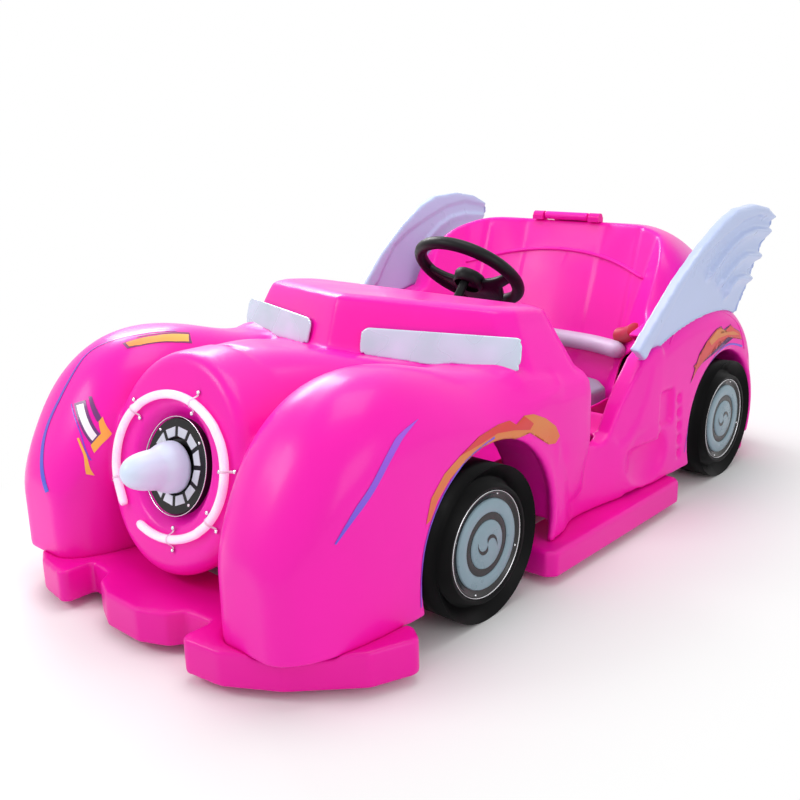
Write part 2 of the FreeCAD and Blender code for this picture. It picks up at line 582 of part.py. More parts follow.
# ---------------------------------------------------------------- turbine nose
grille = turned("nose_grille", [("0", "0"), ("turbine_radius", "0"), ("turbine_radius", "turbine_depth - 2"),
                                ("turbine_radius - 2", "turbine_depth"), ("turbine_radius - 30", "turbine_depth"),
                                ("turbine_radius - 33", "8"), ("0", "8")])
BACKWARD = FreeCAD.Rotation(V(0, 0, 1), 180)
grille.Placement = nose_place(0, num("nose_face"), 0, None, BACKWARD)
node("nose_grille", grille, "Turbine grille ring")
cone = turned("nose_cone", [("0", "0"), ("cone_radius - 4", "0"), ("cone_radius", "7"), ("cone_radius - 1", "20"),
                            ("cone_radius - 6", "33"), ("cone_radius - 9", "41"), ("cone_radius - 11", "60"),
                            ("cone_radius - 17", "80"), ("cone_tip", "cone_length - 7"),
                            ("cone_tip - 9", "cone_length - 1"), ("0", "cone_length")])
cone.Placement = nose_place(0, num("nose_face") - 9, 0, SIZES["cone_lean"], BACKWARD)
node("nose_cone", cut("nose_cone_seated", cone, grille), "Turbine nose cone")
crown = num("((neon_wide - neon_end)*(neon_wide - neon_end) + neon_high*neon_high - neon_end*neon_end)"
            "/(2*(neon_high - neon_end))")
bend = math.degrees(math.atan2(crown - num("neon_high"), num("neon_wide - neon_end")))
tube_seat = -num("neon_tube") - 0.3


def neon_arc(name, radius, right, up, start, sweep):
    """One bend of the light tube, in the plane of the nose face."""
    arc = doc.addObject("Part::Torus", name)
    bind(arc, Radius2="neon_tube")
    arc.Radius1 = radius
    arc.Angle3 = sweep
    arc.Placement = nose_place(right, tube_seat, up, None, FORWARD.multiply(FreeCAD.Rotation(V(0, 0, 1), start)))
    return arc


offset = num("neon_wide - neon_end")
drop = crown - num("neon_high")
neon = fuse("neon_tube", neon_arc("neon_bend_left", num("neon_end"), offset, 0, -bend, 2 * bend),
            neon_arc("neon_bend_top", crown, 0, -drop, bend, 180 - 2 * bend),
            neon_arc("neon_bend_right", num("neon_end"), -offset, 0, 180 - bend, 2 * bend - 2),
            neon_arc("neon_bend_low", crown, 0, drop, 258, 102 - bend))
node("neon_tube", neon, "Neon tube around the nose")
clips = []
channels = []
half_clip = num("2*neon_tube + 5")
for i, (middle_x, middle_up, radius, angle) in enumerate((
        (-offset, 0, num("neon_end"), 132), (-offset, 0, num("neon_end"), 208), (0, -drop, crown, 76),
        (offset, 0, num("neon_end"), 12), (offset, 0, num("neon_end"), -38), (0, drop, crown, 281))):
    spin = FreeCAD.Rotation(V(0, 1, 0), -angle)
    spot = V(middle_x, 0, middle_up) + spin.multVec(V(radius, 0, 0))
    corner = spot + spin.multVec(V(-half_clip, 0, -4))
    clip = doc.addObject("Part::Box", "neon_clip_%d" % i)
    bind(clip, Length="4*neon_tube + 10", Width="2*neon_tube + 3", Height="8")
    clip.Placement = nose_place(corner.x, tube_seat * 2 - 3, corner.z, None, spin)
    clips.append(clip)
    start = spot + spin.multVec(V(0, 0, -10))
    channel = doc.addObject("Part::Cylinder", "neon_channel_%d" % i)
    bind(channel, Radius="neon_tube + 0.4", Height="20")
    channel.Placement = nose_place(start.x, tube_seat, start.z, None, spin)
    channels.append(channel)
node("neon_clips", cut("neon_clips", fuse("neon_clip_blocks", *clips), *channels), "Neon tube clips")

# ---------------------------------------------------------------- running gear
rail_solid = box("rail_solid", "rail_size", "rear_axle_y - front_axle_y + 180", "rail_size", "rail_x - rail_size/2",
           "front_axle_y - 80", "rail_low")
bolt_holes = [cyl("bolt_hole_%d" % i, "bolt_radius", "60", "rail_x", y, "rail_low - 10")
              for i, y in enumerate(("bolt_front", "bolt_front + bolt_span"))]
rail = cut("rail_left", rail_solid, *bolt_holes)
cross = [box("cross_%d" % i, "2*rail_x", "rail_size", "rail_size", "-rail_x", y, "rail_low")
         for i, y in enumerate(("front_axle_y - 80", "-20", "rear_axle_y + 70"))]
node("chassis_frame", fuse("chassis_frame", rail, mirror("rail_right", rail), *cross), "Steel chassis frame")
beam = box("axle_beam", "2*kingpin_x - 44", "30", "30", "22 - kingpin_x", "front_axle_y - 15", "tyre_radius - 15")
eye = cyl("beam_eye", "kingpin_radius + 9", "30", "kingpin_x", "front_axle_y", "tyre_radius - 15")
eye_bar = box("beam_eye_bar", "24", "20", "30", "kingpin_x - 24", "front_axle_y - 10", "tyre_radius - 15")
post = box("beam_post", "24", "30", "tyre_radius - 15 - rail_low - rail_size", "rail_x - 12", "front_axle_y - 15",
           "rail_low + rail_size")
bore = cyl("beam_bore", "kingpin_radius + bore_gap", "60", "kingpin_x", "front_axle_y", "tyre_radius - 30")
beam_half = cut("beam_side", fuse("beam_side_solid", eye, eye_bar, post), bore)
beam_clear = cut("beam_clear", beam, bore, mirror("beam_bore_right", bore))
node("front_axle_beam", fuse("front_axle_beam", beam_clear, beam_half, mirror("beam_side_right", beam_half)),
     "Front axle beam")
fork = [box("fork_%s" % n, "32", "26", "10", "kingpin_x - 12", "front_axle_y - 13", z)
        for n, z in (("top", "tyre_radius + 17"), ("low", "tyre_radius - 27"))]
fork_back = box("fork_back", "6", "26", "54", "kingpin_x + 19", "front_axle_y - 13", "tyre_radius - 27")
pin = cyl("kingpin", "kingpin_radius", "54", "kingpin_x", "front_axle_y", "tyre_radius - 27")
spindle = cyl("spindle", "spindle_radius", "wheel_x + 16 - kingpin_x - 20", "kingpin_x + 20", "front_axle_y",
              "tyre_radius", (0, 1, 0), 90)
arm = box("steer_arm", "20", "steer_arm + 10", "8", "kingpin_x - 10", "front_axle_y", "tyre_radius - 27")
arm_hole = cyl("arm_hole", "5.6", "30", "kingpin_x", "front_axle_y + steer_arm", "tyre_radius - 40")
knuckle = cut("knuckle_left", fuse("knuckle_solid", *(fork + [fork_back, pin, spindle, arm])), arm_hole)
node("knuckle_left", knuckle, "Left steering knuckle")
node("knuckle_right", mirror("knuckle_right", knuckle), "Right steering knuckle")
rod = box("rod_bar", "2*kingpin_x + 20", "16", "10", "-kingpin_x - 10", "front_axle_y + steer_arm - 8",
          "tyre_radius - 39")
pins = cyl("rod_pin", "5", "24", "kingpin_x", "front_axle_y + steer_arm", "tyre_radius - 39")
node("tie_rod", fuse("tie_rod", rod, pins, mirror("rod_pin_right", pins)), "Tie rod")
tube = cyl("axle_tube", "16", "2*(wheel_x - tyre_width/2 - 12)", "-(wheel_x - tyre_width/2 - 12)", "rear_axle_y",
           "tyre_radius", (0, 1, 0), 90)
shaft = cyl("axle_shaft", "spindle_radius", "2*(wheel_x + 16)", "-(wheel_x + 16)", "rear_axle_y", "tyre_radius",
            (0, 1, 0), 90)
seats = [box("axle_seat_%d" % i, "30", "36", "tyre_radius - rail_low - rail_size", x, "rear_axle_y - 18",
             "rail_low + rail_size") for i, x in enumerate(("rail_x - 15", "-rail_x - 15"))]
gear_case = box("gear_case", "30", "132", "84", "-70", "rear_axle_y - 22", "tyre_radius - 42")
node("rear_axle", fuse("rear_axle", tube, shaft, gear_case, *seats), "Rear axle with its gear case")
node("drive_motor", cyl("drive_motor", "48", "150", "-40", "rear_axle_y + 66", "tyre_radius", (0, 1, 0), 90),
     "Drive motor")
node("battery", box("battery", "200", "118", "150", "-100", "rear_axle_y + 124", "base_bottom + base_height"), "Battery")

# wheels and tyres, turned about their own axle
BAND = [("rim_radius", "-tyre_width/2 + 5"), ("rim_radius", "tyre_width/2 - 5"),
        ("rim_radius + 8", "tyre_width/2"), ("tyre_radius - 22", "tyre_width/2"), ("tyre_radius - 6", "tyre_width/2 - 6"),
        ("tyre_radius", "tyre_width/2 - 18"), ("tyre_radius", "18 - tyre_width/2"),
        ("tyre_radius - 6", "6 - tyre_width/2"), ("tyre_radius - 22", "-tyre_width/2"),
        ("rim_radius + 8", "-tyre_width/2")]
DISC = [("spindle_radius + bore_gap", "-14"), ("rim_radius - 6", "-14"), ("rim_radius - 6", "-32"),
        ("rim_radius", "-32"), ("rim_radius", "36"), ("rim_radius - 8", "38"), ("26", "34"), ("22", "30"),
        ("spindle_radius + bore_gap", "30")]


def spun(name, outline, side, y):
    t = turned(name, outline)
    t.Placement = FreeCAD.Placement(V(side * num("wheel_x"), num(y), num("tyre_radius")),
                                    FreeCAD.Rotation(V(0, 0, 1), -90 * side))
    return t


for end, y in (("front", "front_axle_y"), ("rear", "rear_axle_y")):
    for side, word in ((1, "left"), (-1, "right")):
        node("tyre_%s_%s" % (end, word), spun("tyre_%s_%s" % (end, word), BAND, side, y),
             "%s %s tyre" % (end.capitalize(), word))
        node("wheel_%s_%s" % (end, word), spun("wheel_%s_%s" % (end, word), DISC, side, y),
             "%s %s wheel disc" % (end.capitalize(), word))

# ---------------------------------------------------------------- steering
grip = doc.addObject("Part::Torus", "grip")
bind(grip, Radius1="grip_radius - grip_thick", Radius2="grip_thick")
spoke = box("spokes", "2*(grip_radius - grip_thick)", "50", "12", "grip_thick - grip_radius", "-25", "-16")
hub = cyl("wheel_hub", "32", "22", 0, 0, "-26")
stem = cyl("wheel_shaft", "shaft_radius", "shaft_length", 0, 0, "-shaft_length - 10")
steer = fuse("steering_wheel", grip, spoke, hub, stem)
steer.Placement = FreeCAD.Placement(V(0, num("wheel_hub_y"), num("wheel_hub_z")), tilt)
node("steering_wheel", steer, "Steering wheel with its shaft")
sleeve = cut("column_sleeve", cyl("sleeve_out", "shaft_radius + 6", "150", 0, 0, "-290"),
             cyl("sleeve_in", "shaft_radius + 0.8", "400", 0, 0, "-390"))
sleeve.Placement = FreeCAD.Placement(V(0, num("wheel_hub_y"), num("wheel_hub_z")), tilt)
node("steering_column", sleeve, "Steering column sleeve")
node("foot_pedal", box("foot_pedal", "60", "12", "70", "50", "well_front + 50", "well_floor + 0.3", (1, 0, 0), 30),
     "Foot pedal")

# ---------------------------------------------------------------- check and export
doc.recompute()
bad = []
for o in doc.Objects:
    if "Invalid" in o.State or "Error" in o.State:
        bad.append(o.Name)
for name, obj in NODES.items():
    if obj.Shape.isNull() or not obj.Shape.isValid():
        bad.append(name + " shape")
        continue
    print("%-22s solids %d  valid %s  %s" % (name, len(obj.Shape.Solids), obj.Shape.isValid(), obj.Shape.BoundBox))
    obj.Shape.exportStep("parts/%s.step" % name)
print("bad:", bad)
if bad:
    raise SystemExit("invalid objects: %s" % bad)
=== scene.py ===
"""Looks of a kiddie electric ride-on car: moulded skin, wings, turbine nose, wheels, seat and stickers."""
import json
import math

import bmesh
import bpy
from mathutils import Matrix, Vector
from mathutils.bvhtree import BVHTree


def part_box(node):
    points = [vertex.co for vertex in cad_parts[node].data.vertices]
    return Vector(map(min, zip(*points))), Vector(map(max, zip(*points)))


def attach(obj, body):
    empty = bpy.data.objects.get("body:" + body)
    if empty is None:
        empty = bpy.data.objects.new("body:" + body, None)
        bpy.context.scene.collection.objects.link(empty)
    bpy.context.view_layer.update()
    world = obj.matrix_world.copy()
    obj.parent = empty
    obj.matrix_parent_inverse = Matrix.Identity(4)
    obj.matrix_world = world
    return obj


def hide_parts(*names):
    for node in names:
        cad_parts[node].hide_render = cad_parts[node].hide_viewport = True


bl_info = {
    "name": "Kiddie Ride Car",
    "version": (1, 0, 0),
    "blender": (4, 5, 0),
    "location": "3D View > Sidebar > Ride Car",
    "description": "Dresses the frame of a small electric ride-on car with moulded skins, wheels and trim",
    "category": "Object",
}

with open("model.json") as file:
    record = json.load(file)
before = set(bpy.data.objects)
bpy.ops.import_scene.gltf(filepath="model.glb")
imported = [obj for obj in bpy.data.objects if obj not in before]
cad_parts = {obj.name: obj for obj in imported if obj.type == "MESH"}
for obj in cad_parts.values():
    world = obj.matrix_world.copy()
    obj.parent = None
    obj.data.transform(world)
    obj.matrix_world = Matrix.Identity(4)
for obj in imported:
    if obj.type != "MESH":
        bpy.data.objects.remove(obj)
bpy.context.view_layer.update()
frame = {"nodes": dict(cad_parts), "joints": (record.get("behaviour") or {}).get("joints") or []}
NODES = frame["nodes"]
MM = 0.001


def span(node):
    """Lowest corner, highest corner and middle of a frame node."""
    low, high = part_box(node)
    low, high = Vector(low), Vector(high)
    return low, high, (low + high) / 2


# How far the middle of the light tube stands before the nose face, in mm.
TUBE_AHEAD = 7.3


def nose_face(lean):
    """Frame of the leaned nose face: X to the car's left, Y into the nose and Z up along the face."""
    middle = span("neon_tube")[2]
    turn = Matrix.Rotation(-lean, 4, "X")
    back = turn @ Vector((0, -TUBE_AHEAD * MM, 0))
    return Matrix.Translation((0, middle.y - back.y, middle.z - back.z)) @ turn


# ---------------------------------------------------------------- settings
def linear(code):
    """sRGB hex colour as the linear values that shaders take."""
    parts = [int(code[i:i + 2], 16) / 255 for i in (1, 3, 5)]
    return tuple(c / 12.92 if c <= 0.04045 else ((c + 0.055) / 1.055) ** 2.4 for c in parts)


def colour(name, code, description):
    """A colour property with its default as hex."""
    return bpy.props.FloatVectorProperty(name=name, description=description, subtype="COLOR", size=3, min=0,
                                         max=1, default=linear(code))


def length(name, value, description):
    """A length property in metres."""
    return bpy.props.FloatProperty(name=name, description=description, default=value, min=0, unit="LENGTH",
                                   subtype="DISTANCE", precision=4)


def angle(name, degrees, description):
    """An angle property with its default in degrees."""
    return bpy.props.FloatProperty(name=name, description=description, default=math.radians(degrees),
                                   unit="ROTATION")


class RideCarSizes(bpy.types.PropertyGroup):
    """Sizes of the dressed car."""
    voxel: length("Skin voxel", 0.0032, "Grid on which the moulded skins are joined")
    rounding: bpy.props.IntProperty(name="Edge rounding", default=13, min=0, max=60,
                                    description="Smoothing passes that round the moulded edges")
    feather: length("Feather depth", 0.0115, "Depth of the valleys between the wing's feathers")
    rim_grip: length("Grip thickness", 0.0125, "Half the thickness of the steering wheel's rim")
    sticker_lift: length("Sticker lift", 0.0007, "How far the vinyl stickers stand off the skin")
    neon_radius: length("Neon tube radius", 0.007, "Half the thickness of the light tube")
    nose_lean: angle("Nose lean", 15, "How far the nose face leans back")
    cone_lean: angle("Cone lean", 8, "How far the cone points up")


class RideCarColours(bpy.types.PropertyGroup):
    """Colours of the dressed car."""
    shell: colour("Body shell", "#FB14B4", "Moulded pink of the body")
    base: colour("Bumper base", "#F20CA6", "Moulded pink of bumpers and boards")
    wing: colour("Wings", "#BCCAEE", "Moulded white of the wings")
    film: colour("Screen film", "#D6DCF4", "Silvered film of the windscreen")
    tyre: colour("Tyres", "#050506", "Rubber of the tyres")
    cap: colour("Hub caps", "#8199A5", "Pale rings of the hub caps")
    cushion: colour("Cushion", "#9C93AE", "Vinyl of the seat cushion")


# ---------------------------------------------------------------- materials
def add(tree, kind, inputs=None, **settings):
    """Adds one shader node; inputs are plain values, or sockets to link from."""
    made = tree.nodes.new(kind)
    for key, value in settings.items():
        setattr(made, key, value)
    for key, value in (inputs or {}).items():
        if isinstance(value, bpy.types.NodeSocket):
            tree.links.new(value, made.inputs[key])
        else:
            made.inputs[key].default_value = value
    return made


def surface(name, **sockets):
    """A new material with one Principled shader: the material, its tree and the shader."""
    made = bpy.data.materials.new(name)
    made.use_nodes = True
    tree = made.node_tree
    tree.nodes.clear()
    shader = add(tree, "ShaderNodeBsdfPrincipled", sockets)
    add(tree, "ShaderNodeOutputMaterial", {"Surface": shader.outputs["BSDF"]})
    return made, tree, shader


def per_mm(size):
    """Texture scale for features of this size in millimetres, in object coordinates of metres."""
    return 1000.0 / size


def opaque(rgb, gain=1.0):
    """RGB as an opaque colour, made lighter or darker by gain."""
    return tuple(min(1.0, c * gain) for c in rgb[:3]) + (1.0,)


def noise(tree, size, detail=2.0, roughness=0.5):
    """Noise pattern in object coordinates with features of this size in millimetres."""
    place = add(tree, "ShaderNodeTexCoord")
    return add(tree, "ShaderNodeTexNoise", {"Vector": place.outputs["Object"], "Scale": per_mm(size),
                                            "Detail": detail, "Roughness": roughness}).outputs["Fac"]


def between(tree, fac, low, high):
    """Mix of two colours by a factor."""
    mix = add(tree, "ShaderNodeMix", {"Factor": fac}, data_type="RGBA")
    mix.inputs["A"].default_value = low
    mix.inputs["B"].default_value = high
    return mix.outputs["Result"]


def mottled(name, size, low, high, detail=2.0, **sockets):
    """A material whose colour is a cloudy mix of two colours, with patches of this size in millimetres."""
    made, tree, shader = surface(name, **sockets)
    fac = noise(tree, size, detail, 0.55)
    tone = between(tree, fac, low, high)
    tree.links.new(tone, shader.inputs["Base Color"])
    return made, tree, shader, fac


def roughen(tree, shader, fac, low, high):
    """Roughness that follows a pattern between two values."""
    spread = add(tree, "ShaderNodeMapRange", {"Value": fac, "From Min": 0.3, "From Max": 0.7, "To Min": low,
                                              "To Max": high})
    tree.links.new(spread.outputs["Result"], shader.inputs["Roughness"])


def emboss(tree, shader, height, depth):
    """Bump from a pattern, with a depth in millimetres."""
    bump = add(tree, "ShaderNodeBump", {"Height": height, "Strength": 1.0, "Distance": depth * MM})
    tree.links.new(bump.outputs["Normal"], shader.inputs["Normal"])


def drifting(name, patch, low, high, rough, peel, depth, detail=2.0, **sockets):
    """A finish whose colour and roughness drift over patches, under a fine peel; sizes are in millimetres."""
    made, tree, shader, fac = mottled(name, patch, low, high, detail, **sockets)
    roughen(tree, shader, fac, *rough)
    emboss(tree, shader, peel(tree) if callable(peel) else noise(tree, peel), depth)
    return made


def moulded_polyethylene(name, rgb, shade):
    """Rotational moulding, flame polished and lacquered: wet gloss over a faint orange peel."""
    return drifting(name, 90, opaque(rgb, shade), opaque(rgb), (0.28, 0.38), 7, 0.035, **{
        "IOR": 1.48, "Specular IOR Level": 0.22, "Coat Weight": 0.12, "Coat Roughness": 0.16})


def moulded_wing_plastic(rgb):
    """Vacuum formed ABS in cool white with a smooth gloss."""
    return drifting("vacuum_formed_abs_white", 70, opaque(rgb, 0.95), opaque(rgb), (0.26, 0.36), 9, 0.03, **{
        "IOR": 1.53, "Coat Weight": 0.2, "Coat Roughness": 0.1})


def silvered_film(rgb):
    """Metallised polyester film on a plastic panel: a dull mirror with cloudy, wrinkled patches."""
    return drifting("metallised_polyester_film", 70, opaque(linear("#A9CFD0")), opaque(rgb, 1.1), (0.2, 0.36),
                    lambda tree: noise(tree, 55, 0.0), 0.3, 1.0, **{
                        "Metallic": 0.3, "Coat Weight": 0.4, "Coat Roughness": 0.08})


def tyre_rubber(rgb):
    """Moulded rubber: near black, matt, a little dusty."""
    return drifting("moulded_tyre_rubber", 25, opaque(rgb, 0.8), opaque(rgb, 1.5), (0.34, 0.5), 1.5, 0.05,
                    4.0, **{"IOR": 1.5, "Specular IOR Level": 0.1})


def plain_plastic(name, rgb, rough, peel=4.0, depth=0.03, **sockets):
    """Injection moulded plastic with a fine skin texture."""
    return drifting(name, 30, opaque(rgb, 0.88), opaque(rgb, 1.08), (rough - 0.05, rough + 0.07), peel, depth,
                    3.0, **sockets)


def coated_steel(name, rgb, metal, rough):
    """Powder coated or bare steel with faint unevenness."""
    return drifting(name, 18, opaque(rgb, 0.8), opaque(rgb, 1.15), (rough - 0.06, rough + 0.1), 2.5, 0.05,
                    4.0, Metallic=metal)


def vinyl_sticker(name, start, end, low, high, axis="Z"):
    """Cut vinyl print that runs from one colour to another, between two places on an axis of the car."""
    made, tree, shader = surface(name, **{"Coat Weight": 0.3, "Coat Roughness": 0.1})
    place = add(tree, "ShaderNodeTexCoord")
    split = add(tree, "ShaderNodeSeparateXYZ", {"Vector": place.outputs["Object"]})
    ramp = add(tree, "ShaderNodeMapRange", {"Value": split.outputs[axis], "From Min": low,
                                            "From Max": high})
    tone = between(tree, ramp.outputs["Result"], opaque(linear(start)), opaque(linear(end)))
    tree.links.new(tone, shader.inputs["Base Color"])
    roughen(tree, shader, noise(tree, 20), 0.3, 0.42)
    return made


def light_tube():
    """Frosted PVC sleeve of a light rope: milky pink, softly lit from inside."""
    made, tree, shader, _ = mottled(
        "frosted_pvc_light_tube", 35, opaque(linear("#FFC9F0")), opaque(linear("#FFF3FF")), **{
            "Roughness": 0.22, "Coat Weight": 0.6, "Subsurface Weight": 0.35, "Emission Strength": 0.25})
    tone = shader.inputs["Base Color"].links[0].from_socket
    tree.links.new(tone, shader.inputs["Emission Color"])
    emboss(tree, shader, noise(tree, 12), 0.05)
    return made


def cushion_vinyl(rgb, name="embossed_vinyl"):
    """Embossed upholstery vinyl with a leather grain of about 3 mm."""
    def leather(tree):
        place = add(tree, "ShaderNodeTexCoord").outputs["Object"]
        return add(tree, "ShaderNodeTexVoronoi", {"Vector": place, "Scale": per_mm(3)}).outputs["Distance"]

    return drifting(name, 60, opaque(rgb, 0.82), opaque(rgb, 1.1), (0.42, 0.55), leather, 0.15, **{
        "IOR": 1.5, "Sheen Weight": 0.1})


def webbing():
    """Woven polyester belt: ribs every 2 mm across the strap, with painted shade in the grooves between them
    and lighter crests.
    """
    made, tree, shader = surface("woven_polyester_webbing", **{"Roughness": 0.7, "Sheen Weight": 0.3})
    place = add(tree, "ShaderNodeTexCoord")
    ribs = add(tree, "ShaderNodeTexWave", {"Vector": place.outputs["Object"], "Scale": per_mm(2) / 6.283,
                                           "Distortion": 0.4}, bands_direction="X")
    # Painted shade: the colour is darker in the grooves between the ribs and lighter on their crests,
    # following the bump's wave.
    tone = between(tree, ribs.outputs["Fac"], opaque(linear("#0A0A0C")), opaque(linear("#1D1D22")))
    tree.links.new(tone, shader.inputs["Base Color"])
    emboss(tree, shader, ribs.outputs["Fac"], 0.3)
    return made


MATERIALS = {}


# ---------------------------------------------------------------- mesh helpers
def linked(name, data):
    """A new object in the scene."""
    made = bpy.data.objects.new(name, data)
    bpy.context.scene.collection.objects.link(made)
    return made


def put(name, mesh, material, body, smooth=True):
    """Links a mesh as one piece of the car, with its finish and the body it rides on."""
    made = linked(name, mesh)
    mesh.materials.append(MATERIALS[material])
    if smooth:
        mesh.shade_smooth()
    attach(made, body)
    return made


def dress(piece, material, body, slot, *nodes):
    """Gives a skin its finish and the body it rides on, and hides the frame nodes that it stands for. The
    slot is not used.
    """
    piece.data.materials.append(MATERIALS[material])
    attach(piece, body)
    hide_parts(*nodes)


def paint(material, *nodes):
    """Gives frame nodes that keep their shape their finish."""
    for node in nodes:
        holder = NODES[node]
        holder.data.materials.clear()
        holder.data.materials.append(MATERIALS[material])


def mesh_of(name, points, faces, place=Matrix()):
    """Mesh from points and faces, moved by a matrix, with outward normals."""
    made = bpy.data.meshes.new(name)
    made.from_pydata([tuple(place @ p) for p in points], [], faces)
    shape = bmesh.new()
    shape.from_mesh(made)
    bmesh.ops.recalc_face_normals(shape, faces=shape.faces)
    shape.to_mesh(made)
    shape.free()
    return made


def bridge(first, second, count, closed=True):
    """Four-cornered faces between two rows of points that start at these numbers."""
    last = count if closed else count - 1
    return [(first + k, first + (k + 1) % count, second + (k + 1) % count, second + k) for k in range(last)]


def ladder(start, steps):
    """Four-cornered faces of a strip whose points come in pairs."""
    return [(start + 2 * i, start + 2 * i + 1, start + 2 * i + 3, start + 2 * i + 2) for i in range(steps)]


def radial(count, start=0.0):
    """Evenly spaced angles round a circle, from a share of one step."""
    return [2 * math.pi * (k + start) / count for k in range(count)]


def turned(profile, count, closed=False):
    """Points and faces of a profile (along, radius) turned about +X."""
    points, faces, rows = [], [], len(profile)
    for i, a in enumerate(radial(count)):
        points += [Vector((x, r * math.cos(a), r * math.sin(a))) for x, r in profile]
        j = (i + 1) % count
        for k in range(rows if closed else rows - 1):
            m = (k + 1) % rows
            faces.append((i * rows + k, i * rows + m, j * rows + m, j * rows + k))
    return points, faces


def lathe(name, profile, count, material, body, place, closed=False):
    """A piece from a profile (along, radius) in millimetres, turned about +X and placed."""
    points, faces = turned([(x * MM, r * MM) for x, r in profile], count, closed)
    return put(name, mesh_of(name, points, faces, place), material, body)


def screws(name, face, spots, radius, body):
    """Domed screw heads at places on a face, standing off along its -Y."""
    points, faces = [], []
    dome = [(-0.2, 1.0), (0.25, 1.0), (0.55, 0.86), (0.78, 0.55), (0.86, 0.01)]
    for spot in spots:
        head, head_faces = turned([(t * radius, r * radius) for t, r in dome], 14)
        start = len(points)
        place = face @ Matrix.Translation(spot) @ Matrix.Rotation(-math.pi / 2, 4, "Z")
        points += [place @ p for p in head]
        faces += [tuple(start + i for i in f) for f in head_faces]
    return put(name, mesh_of(name, points, faces), "chrome", body)


def settle(piece):
    """Turns a piece's modifiers into its mesh."""
    graph = bpy.context.evaluated_depsgraph_get()
    done = bpy.data.meshes.new_from_object(piece.evaluated_get(graph))
    piece.modifiers.clear()
    old, piece.data = piece.data, done
    bpy.data.meshes.remove(old)


def lofted(name, rings):
    """Closed solid through rings of points in millimetres."""
    count = len(rings[0])
    faces = [face for i in range(len(rings) - 1) for face in bridge(i * count, (i + 1) * count, count)]
    faces += [tuple(range(count)), tuple(range((len(rings) - 1) * count, len(rings) * count))]
    return mesh_of(name, [Vector(p) * MM for ring in rings for p in ring], faces)


def modify(piece, kind, **settings):
    """Adds a modifier to a piece."""
    made = piece.modifiers.new(kind.lower(), kind)
    for key, value in settings.items():
        setattr(made, key, value)


def soft_skin(name, nodes, voxel, rounds, faces, carve=None, added=(), removed=()):
    """One smooth moulded skin over several solids of the frame, with its edges rounded."""
    shape = bmesh.new()
    for source in [NODES[node].data for node in nodes] + list(added):
        shape.from_mesh(source)
    mesh = bpy.data.meshes.new(name)
    shape.to_mesh(mesh)
    shape.free()
    piece = linked(name, mesh)
    modify(piece, "REMESH", mode="VOXEL", voxel_size=voxel)
    for tool in removed:
        cutter = linked("cutter", tool)
        modify(piece, "BOOLEAN", operation="DIFFERENCE", solver="MANIFOLD", object=cutter)
        settle(piece)
        bpy.data.objects.remove(cutter)
    if removed:
        modify(piece, "REMESH", mode="VOXEL", voxel_size=voxel)
    modify(piece, "SMOOTH", factor=0.5, iterations=rounds)
    settle(piece)
    if carve:
        for v in piece.data.vertices:
            v.co = carve(v.co)
        modify(piece, "SMOOTH", factor=0.5, iterations=3)
    modify(piece, "DECIMATE", ratio=min(1.0, faces / (2 * len(piece.data.polygons))))
    settle(piece)
    piece.data.materials.clear()
    piece.data.shade_smooth()
    return piece


def surface_tree(piece):
    """Tree of a mesh for finding points on its surface."""
    shape = bmesh.new()
    shape.from_mesh(piece.data)
    made = BVHTree.FromBMesh(shape)
    shape.free()
    return made


def ribbon(points, width, steps):
    """Evenly spaced centre points and half widths along a smooth curve through a few points."""
    path = bpy.data.curves.new("path", "CURVE")
    path.dimensions = "3D"
    spline = path.splines.new("NURBS")
    spline.points.add(len(points) - 1)
    for target, p in zip(spline.points, points):
        target.co = (*p, 1.0)
    spline.order_u = 3
    spline.use_endpoint_u = True
    spline.resolution_u = 12
    holder = linked("path", path)
    line = bpy.data.meshes.new_from_object(holder)
    raw = [v.co.copy() for v in line.vertices]
    bpy.data.objects.remove(holder)
    bpy.data.curves.remove(path)
    bpy.data.meshes.remove(line)
    run = [0.0]
    for a, b in zip(raw, raw[1:]):
        run.append(run[-1] + (b - a).length)
    out, k = [], 0
    for i in range(steps + 1):
        want = run[-1] * i / steps
        while k < len(run) - 2 and run[k + 1] < want:
            k += 1
        t = (want - run[k]) / max(run[k + 1] - run[k], 1e-9)
        out.append((raw[k].lerp(raw[k + 1], t), width(i / steps) / 2))
    return out


def stuck(tree, point, normal_hint, lift):
    """The place on the skin nearest to a point, seen from outside, lifted a little."""
    start = point + normal_hint * 0.08
    hit, normal, _, _ = tree.ray_cast(start, -normal_hint, 0.2)
    if hit is None:
        hit, normal, _, _ = tree.find_nearest(point)
    if normal.dot(normal_hint) < 0:
        normal = -normal
    return hit + normal * lift


def sticker(name, tree, path, width, out, material, lift, rows=6, steps=60):
    """A strip of cut vinyl laid on the skin along a curve in millimetres, seen from one side."""
    out = Vector(out).normalized()
    line = ribbon(metres(path), width, steps)
    points, faces = [], []
    for i, (p, half) in enumerate(line):
        before, after = line[max(i - 1, 0)][0], line[min(i + 1, steps)][0]
        aside = (after - before).cross(out).normalized()
        for k in range(rows + 1):
            points.append(stuck(tree, p + aside * half * (2 * k / rows - 1), out, lift))
    for i in range(steps):
        for k in range(rows):
            a = i * (rows + 1) + k
            faces.append((a, a + 1, a + rows + 2, a + rows + 1))
    mesh = bpy.data.meshes.new(name)
    mesh.from_pydata([tuple(p) for p in points], [], faces)
    put(name, mesh, material, "body")


